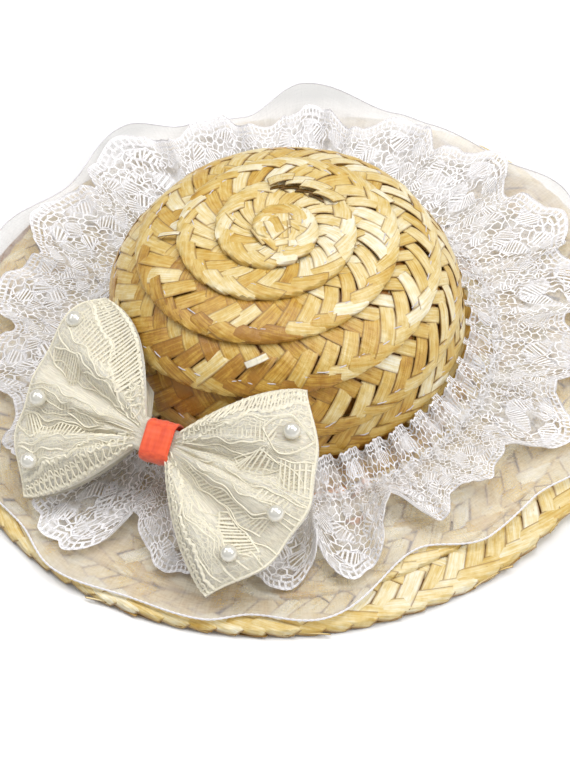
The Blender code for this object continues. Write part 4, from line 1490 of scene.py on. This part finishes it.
def veil_finish():
    material, shader = material_and_shader("finest lace net", (0.89, 0.88, 0.89), 0.7, SOFT)
    flat = add_node(material, "ShaderNodeUVMap", uv_map="lace")
    cells = add_node(material, "ShaderNodeTexVoronoi", Scale=1.25, feature="DISTANCE_TO_EDGE")
    cloud = add_node(material, "ShaderNodeTexNoise", Scale=0.13, Detail=5.0, Roughness=0.6)
    for node in (cells, cloud):
        link(material, flat, "UV", node, "Vector")
    walls = ranged(material, cells, "Distance", from_max=0.22, to_min=0.16, to_max=0.0)
    dense = ranged(material, cloud, "Fac", from_min=0.42, from_max=0.64, to_min=0.04, to_max=0.52)
    both = math_node(material, "ADD", (walls, "Result"), (dense, "Result"))
    link(material, *both, shader, "Alpha")
    return material


lace_veil = fine_net("lace_veil", 1000, 11)
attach(lace_veil, "root")

# %% [markdown]
# ## The bow
#
# The bow is one band of cream lace, laid back on itself into two loops and pinched in the middle.
# Its ground is a soft sheer cloth that hides most of what is behind it, and leaves, hatching and
# a crocheted ladder along both long edges lie on it in thicker thread. The pleats fan out from
# the knot, so the surface is a fan whose ripples are deepest halfway out.

# %% Bow surface
def through_corners(corners, share):
    """Points on a smooth line through evenly spaced corners."""
    corners = np.asarray(corners, float)
    spans = len(corners) - 1
    place = np.clip(share, 0, 1) * spans
    span = np.minimum(place.astype(int), spans - 1)
    t = (place - span)[..., None]
    a, b = corners[np.maximum(span - 1, 0)], corners[span]
    c, d = corners[span + 1], corners[np.minimum(span + 2, spans)]
    return b + ((c - a) * t + (2 * a - 5 * b + 4 * c - d) * t**2 + (3 * (b - c) + d - a) * t**3) / 2


# Deep creases that run out from the knot, as place across, depth and spread
BOW_CREASES = {
    "left": [
        (0.36, 1.2, 0.07), (-0.12, 2.4, 0.08), (-0.42, 1.8, 0.06), (-0.68, 1.6, 0.05), (0.62, 1.0, 0.05),
    ],
    "right": [
        (0.30, 1.6, 0.07), (0.02, 2.8, 0.10), (-0.30, 1.5, 0.06), (-0.52, 2.4, 0.08), (0.6, 1.2, 0.05),
    ],
}
# Length and half height of the sheet on which the lace of one loop is drawn, in millimetres
LOOP_LENGTH = 40.0
LOOP_HALF = 31.0
BOW_FRAME = np.array(Matrix.Translation(BOW_PLACE) @ Matrix.Rotation(BOW_LEAN, 4, "X"))


def bow_surface(side, out, across, face=1):
    """Points of one loop: out from the pinch to the fold, across its width from -1 to 1."""
    loop = BOW_LOOPS[side]
    sign = -1.0 if side == "left" else 1.0
    out, across = np.broadcast_arrays(np.asarray(out, float), np.asarray(across, float))
    fold = through_corners(loop["fold"], (across + 1) / 2) * MM
    x = (1 - out) * sign * PINCH_HALF_LENGTH + out * fold[..., 0]
    y = (1 - out) * PINCH_HALF_HEIGHT * across + out * fold[..., 1]
    y = y + 4 * out * (1 - out) * 4.0 * MM * across**3
    # The upper edge of the left loop bellies out towards the crown
    top = np.clip(across, 0, 1) ** 3
    if side == "left":
        x = x + (3.2 * out + 2.4 * np.sin(np.pi * out)) * MM * top
        y = y + (1.0 * out + 2.6 * np.sin(np.pi * out)) * MM * top
        corner = bell(across - 0.74, 0.2) * np.clip(out, 0, 1) ** 3
        x, y = x - 1.6 * MM * corner, y + 1.8 * MM * corner
    swell = np.sin(np.pi * np.clip(out, 0, 1) ** 0.8)
    pleat = np.cos(np.pi * loop["pleats"] * across + 0.6)
    sharp = np.sign(pleat) * np.abs(pleat) ** 0.75
    pleat = sharp * (0.3 + swell) * 1.45 * MM * np.clip(out / 0.4, 0, 1)
    fine = np.cos(np.pi * 9.3 * across + 1.9 + 1.5 * out) * (1 - out) ** 0.8 * np.clip(out / 0.12, 0, 1)
    fine = fine + 0.5 * np.cos(np.pi * 5.6 * across + 0.4 - 2.0 * out) * np.clip(out, 0, 1)
    hill = np.clip(out / 0.15, 0, 1) * np.clip((0.9 - out) / 0.35, 0, 1) ** 0.7
    for middle, depth, spread in BOW_CREASES[side]:
        pleat = pleat - 0.75 * depth * MM * hill * np.exp(-np.abs((across - middle) / spread) ** 1.3)
    if face > 0:
        z = 2.3 * MM + 4.0 * MM * swell + pleat + fine * 0.4 * MM
        # The long edges curl towards the back, the lower one more
        curl = np.clip((np.abs(across) - 0.78) / 0.22, 0, 1) ** 2 * np.where(across < 0, 0.7, 0.3)
        z = z - curl * (z + (1.6 + 1.2 * swell) * MM)
    else:
        z = -1.6 * MM - 1.2 * MM * swell
    turned = np.clip((out - 0.92) / 0.08, 0, 1)
    z = z * (1 - turned) + 0.3 * pleat * turned
    x = x + sign * 0.5 * MM * np.sin(11 * across + 1) * out**4
    local = np.stack([x, y, z], axis=-1)
    place = local @ BOW_FRAME[:3, :3].T + BOW_FRAME[:3, 3]
    radius = np.hypot(place[..., 0], place[..., 1])
    least = crown_radius_at(place[..., 2]) + 1.0 * MM + GAP
    push = np.maximum(least / np.maximum(radius, 1e-9), 1.0)
    place[..., 0] *= push
    place[..., 1] *= push
    return place


# %% Bow ground
def bow_band(name, material, columns=73):
    """The whole band as one closed loop of cloth: front, fold, back, and the other side."""
    front = np.concatenate([np.linspace(0, 0.88, 23), np.linspace(0.90, 1.0, 8)])
    back = np.linspace(0, 0.97, 14)
    stations = [("right", out, 1) for out in front] + [("right", out, -1) for out in back[::-1]]
    stations += [("left", out, -1) for out in back] + [("left", out, 1) for out in front[::-1]]
    across = np.linspace(-1, 1, columns)
    rows = [bow_surface(side, out, across, face) for side, out, face in stations]
    points = np.concatenate(rows)
    count = len(rows)
    faces = grid_faces(count, columns, round_rows=True, round_columns=False, turned=True)
    maps = [flat_points(np.full(columns, n * 1.6), across * LOOP_HALF) for n in range(count)]
    maps = np.concatenate(maps)
    return finished_mesh(name, points, faces, material, maps, map_name="lace")


def sheer_cream():
    milky = {
        "Subsurface Weight": 0.6, "Subsurface Radius": (1.0, 0.9, 0.7), "Subsurface Scale": 0.004,
        "Sheen Weight": 0.35,
    }
    material, shader = material_and_shader("sheer cream ground", (0.72, 0.66, 0.52), 0.65, milky)
    flat = add_node(material, "ShaderNodeUVMap", uv_map="lace")
    hairy = {"Scale": 1.0, "Detail": 5.0, "Roughness": 0.7, "Distortion": 0.3}
    fibres = [
        (stretched_noise(material, flat, scale, turn, **hairy), "Fac")
        for scale, turn in (((0.18, 1.9, 1), 0.16), ((0.18, 1.6, 1), -0.5))
    ]
    crossed = math_node(material, "MAXIMUM", *fibres)
    creams = [(0.42, (0.79, 0.735, 0.60)), (0.56, (0.82, 0.77, 0.635)), (0.70, (0.85, 0.805, 0.675))]
    ramp = colour_ramp(material, creams)
    link(material, *crossed, ramp, "Fac")
    link(material, ramp, "Color", shader, "Base Color")
    opacity = ranged(material, *crossed, from_min=0.44, from_max=0.62, to_min=0.72, to_max=0.97)
    link(material, opacity, "Result", shader, "Alpha")
    bump = bumped(material, *crossed, 0.4, 0.0002)
    link(material, bump, "Normal", shader, "Normal")
    return material


bow_cloth = bow_band("bow_cloth", sheer_cream())
print("bow ground:", len(bow_cloth.data.polygons), "faces")


# %% Pens for the bow's lace
def edge_line(x, depth, edge=1):
    """A line at a real depth inside the loop's long edge, whose width grows from the knot."""
    half_height = 4.7 + 25.3 * np.asarray(x, float) / LOOP_LENGTH
    return edge * LOOP_HALF * (1 - np.minimum(depth / half_height, 0.75))


def draw_ladder(drawing, span, low, high, spacing, lean):
    """Two rails at heights low and high over a span of x, with rungs between them."""
    rail_pen, rung_pen = 0.55, 0.42
    steps = np.arange(span[0], span[1] + 0.01, 0.7)
    for line in (low, high):
        draw_line(drawing, flat_points(steps, line(steps)), rail_pen, rail_pen * 0.4, rise=0.07)
    rungs = np.arange(span[0] + spacing / 2, span[1], spacing)
    ends = np.clip(rungs + lean, *span)
    draw_bars(drawing, flat_points(rungs, low(rungs)), flat_points(ends, high(ends)), rung_pen, rise=0.09)


def draw_crochet(drawing, edge, width, seed):
    """The heavy border of one long edge: three corded lines, rungs and a row of loops."""
    random = np.random.default_rng(seed)
    steps = np.arange(0.0, 40.01, 0.45)
    for depth, pen in ((0.5, 1.25), (width * 0.55, 0.8), (width, 1.05)):
        wave = 0.35 * np.abs(np.sin(np.pi * steps / 2.1 + depth)) + random.normal(0, 0.06, len(steps))
        corded = flat_points(steps, edge_line(steps, depth + wave, edge))
        draw_line(drawing, corded, pen, pen * 0.36, rise=0.10)
    rungs = np.arange(0.8, 39.6, 1.05)
    lean = random.normal(0.25, 0.15, len(rungs))
    rung_ends = flat_points(rungs + lean, edge_line(rungs + lean, 0.4, edge))
    draw_bars(drawing, flat_points(rungs, edge_line(rungs, width, edge)), rung_ends, 0.56, rise=0.11)
    turn = np.linspace(0, 2 * np.pi, 10)[:-1]
    for middle in np.arange(3.0, 38.5, 2.1):
        x = middle + 0.95 * np.cos(turn)
        ring = flat_points(x, edge_line(x, width * 0.5 + width * 0.3 * np.sin(turn), edge))
        draw_line(drawing, ring, 0.55, 0.26, closed=True, rise=0.15)


def draw_fibres(drawing, count, seed, smooth):
    """Loose fine hairs of the ground, which run out from the knot, outside its smooth place."""
    random = np.random.default_rng(seed)
    for _ in range(count):
        foot, long = random.uniform(1, 28), random.uniform(7, 18)
        t = np.linspace(0, 1, 8)
        x = np.minimum(foot + long * t, 39.4)
        y = random.uniform(-27, 27) + random.normal(0, 2.2) * t + 0.5 * np.sin(t * 7 + random.uniform(0, 6))
        if x[-1] > smooth[0] and smooth[1] < y.mean() < smooth[2]:
            continue
        hair = flat_points(x, np.clip(y, -29, 29))
        draw_line(drawing, hair, random.uniform(0.14, 0.22), 0.06, rise=0.03)


# %% Bow lace
BOW_BANDS = {
    "left": [
        # Out from and to, low and high as heights across, spacing and lean of the rungs
        (9, 39.4, 17.5, 24.0, 1.25, 0.5),
        (20, 39.4, -7.5, -1.5, 1.15, 1.6),
        (12, 33, -17.5, -12.0, 1.2, 0.0),
        (27, 39.4, -24.0, -18.5, 1.3, -0.6),
    ],
    "right": [
        (8, 27, 15.5, 22.0, 1.2, 0.3),
        (31, 39.4, 5.0, 14.0, 1.25, 0.0),
        (5, 34, -11.5, -7.0, 1.15, 1.2),
        (14, 39.0, -25.0, -19.5, 1.2, -0.5),
        (28, 39.4, -3.0, 3.0, 1.3, 0.8),
    ],
}
# Heights of the veins that run out from the knot
BOW_VEINS = {
    "left": [14.5, 9.0, 1.0, -3.5, -9.5, -14.8, -20.0, -22.5],
    "right": [23.5, 12.0, 7.5, 2.0, -2.5, -6.0, -13.0, -17.0, -22.0],
}
# Where the ground lies smooth and bare: how far out it starts, and its sides
BOW_SMOOTH = {"left": (12.0, 1.5, 9.0), "right": (14.0, -19.0, -3.0)}
# Leaves as foot, direction, length and width
BOW_LEAVES = {
    "left": [
        (23, 8.5, 0.25, 14, 8.0), (7, 12.0, 0.05, 15, 6.0), (30, -12.0, -0.1, 9, 7.0),
        (10, -6.5, 0.0, 11, 5.0),
    ],
    "right": [
        (27, 20.0, -0.1, 12, 9.0), (18, 9.5, 0.05, 13, 8.0), (22, -15.5, -0.05, 16, 6.5),
        (30, 10, -0.4, 8, 6.0),
    ],
}


def bow_lace(side, seed):
    drawing = new_drawing()
    leaves = BOW_LEAVES[side]
    starts, ends = net_edges(LOOP_LENGTH, -27.0, 27.0, 1.7)
    keep = outside_leaves(starts, ends, leaves)
    middle = (starts + ends) / 2
    keep &= (np.abs(middle[:, 1]) < 26.6) & (middle[:, 0] > 6) & (ends[:, 0] < 39.5)
    low_x, low, high = BOW_SMOOTH[side]
    keep &= ~((middle[:, 0] > low_x) & (middle[:, 1] > low) & (middle[:, 1] < high))
    draw_bars(drawing, starts[keep], ends[keep], 0.22, rise=0.03)
    draw_fibres(drawing, 150, seed, BOW_SMOOTH[side])
    for leaf in leaves:
        draw_leaf(drawing, *leaf, pen=0.65, spacing=1.15, slant=0.5)
    random = np.random.default_rng(seed + 50)
    for low_x, high_x, low, high, spacing, lean in BOW_BANDS[side]:
        drift = random.uniform(0, 6)
        sway = lambda x, drift=drift: 0.8 * np.sin(x / 6.5 + drift)
        lower, upper = (lambda x: low + sway(x)), (lambda x: high + sway(x))
        draw_ladder(drawing, (low_x, high_x), lower, upper, spacing, lean)
    steps = np.arange(1.0, 39.5, 0.8)
    for height in BOW_VEINS[side]:
        wave = random.uniform(0.4, 1.1) * np.sin(steps / random.uniform(3.5, 6.0) + random.uniform(0, 6))
        draw_line(drawing, flat_points(steps, height + wave), 0.6, 0.26, rise=0.07)
    draw_crochet(drawing, 1, 5.0 if side == "left" else 4.0, seed + 70)
    draw_crochet(drawing, -1, 4.4 if side == "left" else 3.4, seed + 80)
    # A cord along the fold, where the band turns back
    across = np.arange(-30, 30.01, 0.8)
    draw_line(drawing, flat_points(np.full(len(across), 39.6), across)[::-1], 0.7, 0.3, rise=0.12)
    return drawing


def swayed(x, y):
    """The drawing as soft cloth lets it lie: drawn lines sway, the edges stay."""
    inside = (1 - (y / LOOP_HALF) ** 4) * (1 - (x / LOOP_LENGTH) ** 6) * np.clip(x / 8.0, 0, 1)
    aside = 1.1 * np.sin(0.42 * x + 0.17 * y + 0.6) + 0.45 * np.sin(0.95 * x - 0.31 * y)
    along = 0.9 * np.sin(0.37 * y + 0.12 * x + 1.1) + 0.4 * np.sin(0.83 * y - 0.2 * x)
    return (x + along * inside) / LOOP_LENGTH, (y + aside * inside) / LOOP_HALF


def on_right_loop(x, y):
    return bow_surface("right", *swayed(x, y))


def on_left_loop(x, y):
    return bow_surface("left", *swayed(-x, y))


def mirrored(drawing):
    drawing["points"] = [np.concatenate(drawing["points"]) * np.array([-1, 1, 1])]
    drawing["faces"] = [face[::-1] for face in drawing["faces"]]
    return drawing


cream_thread = thread_finish("cream lace thread", (0.84, 0.795, 0.66), (0.93, 0.91, 0.83))
bow_threads = [
    lay_drawing("bow_lace_left", mirrored(bow_lace("left", 21)), on_left_loop, cream_thread),
    lay_drawing("bow_lace_right", bow_lace("right", 22), on_right_loop, cream_thread),
]
for piece in [bow_cloth] + bow_threads:
    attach(piece, "root")
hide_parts("lace_bow")
print("bow threads:", sum(len(piece.data.polygons) for piece in bow_threads), "faces")

# %% [markdown]
# ## The ribbon knot
#
# A short piece of satin ribbon is wrapped round the pinch. Satin shines along one direction and
# shows the fine cords of its weave across the other. Both its woven edges turn in a little.

# %% Knot
def knot_outline(half_height, half_depth, corner, steps=9):
    points = []
    for side_y, side_z, start in [(1, 1, 0), (-1, 1, 90), (-1, -1, 180), (1, -1, 270)]:
        for turn in np.radians(start + np.linspace(0, 90, steps)):
            y = side_y * (half_height - corner) + corner * math.cos(turn)
            z = side_z * (half_depth - corner) + corner * math.sin(turn)
            points.append((y, z))
    return np.array(points)


def knot_band():
    bpy.ops.object.select_all(action="DESELECT")
    outline = knot_outline(KNOT_HALF_HEIGHT, KNOT_HALF_DEPTH, KNOT_CORNER)
    around = len(outline)
    stations = np.linspace(-0.5, 0.5, 29)
    points = []
    for share in stations:
        edge = np.clip((abs(share) - 0.43) / 0.07, 0, 1)
        pinch = 0.97 + 0.02 * (1 - (2 * share) ** 2) - 0.07 * edge**2
        pleat = 0.010 * math.sin(share * 31) + 0.012 * math.sin(share * 14 + 1)
        for n, (y, z) in enumerate(outline):
            size = pinch + pleat * (0.5 + 0.5 * math.sin(4 * np.pi * n / around + 0.8))
            x = share * KNOT_WIDTH * (1 + 0.02 * math.sin(6 * np.pi * n / around))
            points.append((x, y * size, z * size))
    flat = np.array([(share * 9, n / around * 34) for share in stations for n in range(around)])
    shifted = Matrix(BOW_FRAME.tolist()) @ Matrix.Translation((KNOT_SHIFT, 0, 0))
    knot_frame = np.array(shifted @ Matrix.Rotation(KNOT_TURN, 4, "Z"))
    placed = np.array(points) @ knot_frame[:3, :3].T + knot_frame[:3, 3]
    faces = grid_faces(len(stations), around)
    band = finished_mesh("ribbon_band", placed, faces, satin_finish(), flat, map_name="lace")
    wall = band.modifiers.new("wall", "SOLIDIFY")
    wall.thickness = RIBBON_THICKNESS
    wall.offset = -1
    apply_modifiers(band)
    return band


def satin_finish():
    satin = {"Sheen Weight": 0.3, "Anisotropic": 0.5, "Specular IOR Level": 0.6}
    material, shader = material_and_shader("orange satin", (0.86, 0.085, 0.02), 0.36, satin)
    flat = add_node(material, "ShaderNodeUVMap", uv_map="lace")
    cords = add_node(material, "ShaderNodeTexWave", Scale=1.35, Distortion=0.35, Detail=1.0)
    cords.bands_direction = "Y"
    cloud = add_node(material, "ShaderNodeTexNoise", Scale=0.5, Detail=2.0)
    for node in (cords, cloud):
        link(material, flat, "UV", node, "Vector")
    ramp = colour_ramp(material, [(0.3, (0.72, 0.052, 0.010)), (0.62, (0.91, 0.112, 0.022))])
    link(material, cloud, "Fac", ramp, "Fac")
    link(material, ramp, "Color", shader, "Base Color")
    bump = bumped(material, cords, "Fac", 0.35, 0.00008)
    link(material, bump, "Normal", shader, "Normal")
    return material


knot = knot_band()
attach(knot, "root")
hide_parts("bow_knot")

# %% [markdown]
# ## The pearls
#
# Six half-round pearls are glued to the loops. Real imitation pearls are plastic with a thin
# lacquer of tiny flakes: a milky body under a clear, very glossy coat, darker and warmer at its outline.

# %% Pearls
def pearl_finish():
    coat = {"Coat Weight": 1.0, "Coat Roughness": 0.04, "Metallic": 0.35}
    material, shader = material_and_shader("pearl lacquer", (0.66, 0.63, 0.56), 0.17, coat)
    glance = add_node(material, "ShaderNodeLayerWeight", Blend=0.35)
    milky = [(0.0, (0.84, 0.82, 0.75)), (0.4, (0.72, 0.69, 0.60)), (1.0, (0.50, 0.46, 0.38))]
    ramp = colour_ramp(material, milky)
    link(material, glance, "Facing", ramp, "Fac")
    link(material, ramp, "Color", shader, "Base Color")
    return material


def model_pearl():
    """A round bead with its back cut flat."""
    bpy.ops.object.select_all(action="DESELECT")
    bpy.ops.mesh.primitive_uv_sphere_add(segments=48, ring_count=24, radius=PEARL_RADIUS)
    bead = bpy.context.object
    bpy.ops.object.mode_set(mode="EDIT")
    bpy.ops.mesh.select_all(action="SELECT")
    bpy.ops.mesh.bisect(
        plane_co=(0, 0, -PEARL_CUT), plane_no=(0, 0, 1), use_fill=True, clear_inner=True
    )
    bpy.ops.mesh.select_all(action="SELECT")
    # The flat back lies a little inside the soft cloth
    bpy.ops.transform.translate(value=(0, 0, PEARL_CUT - PEARL_SINK))
    bpy.ops.object.mode_set(mode="OBJECT")
    bpy.ops.object.shade_smooth_by_angle(angle=math.radians(40))
    return bead


def seat_of(node):
    """Where a pearl's flat back lies, and the way the pearl faces, from its solid."""
    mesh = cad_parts[node].data
    normals = {}
    for face in mesh.polygons:
        key = tuple(round(part, 2) for part in face.normal)
        normals.setdefault(key, []).append(face)
    back = max(normals.values(), key=lambda faces: sum(face.area for face in faces))
    corners = {n for face in back for n in face.vertices}
    middle = sum((mesh.vertices[n].co for n in corners), Vector()) / len(corners)
    return middle, -back[0].normal


pearl_coat = pearl_finish()
bead = model_pearl()
for number in range(1, 7):
    middle, facing = seat_of(f"pearl_{number}")
    pearl = bead.copy()
    pearl.data = bead.data.copy()
    pearl.name = f"pearl_bead_{number}"
    bpy.context.scene.collection.objects.link(pearl)
    spin = facing.to_track_quat("Z", "Y").to_matrix().to_4x4()
    pearl.data.transform(Matrix.Translation(middle) @ spin)
    pearl.data.materials.clear()
    pearl.data.materials.append(pearl_coat)
    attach(pearl, "root")
    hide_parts(f"pearl_{number}")
bpy.data.objects.remove(bead, do_unlink=True)
print("pearls placed: 6")
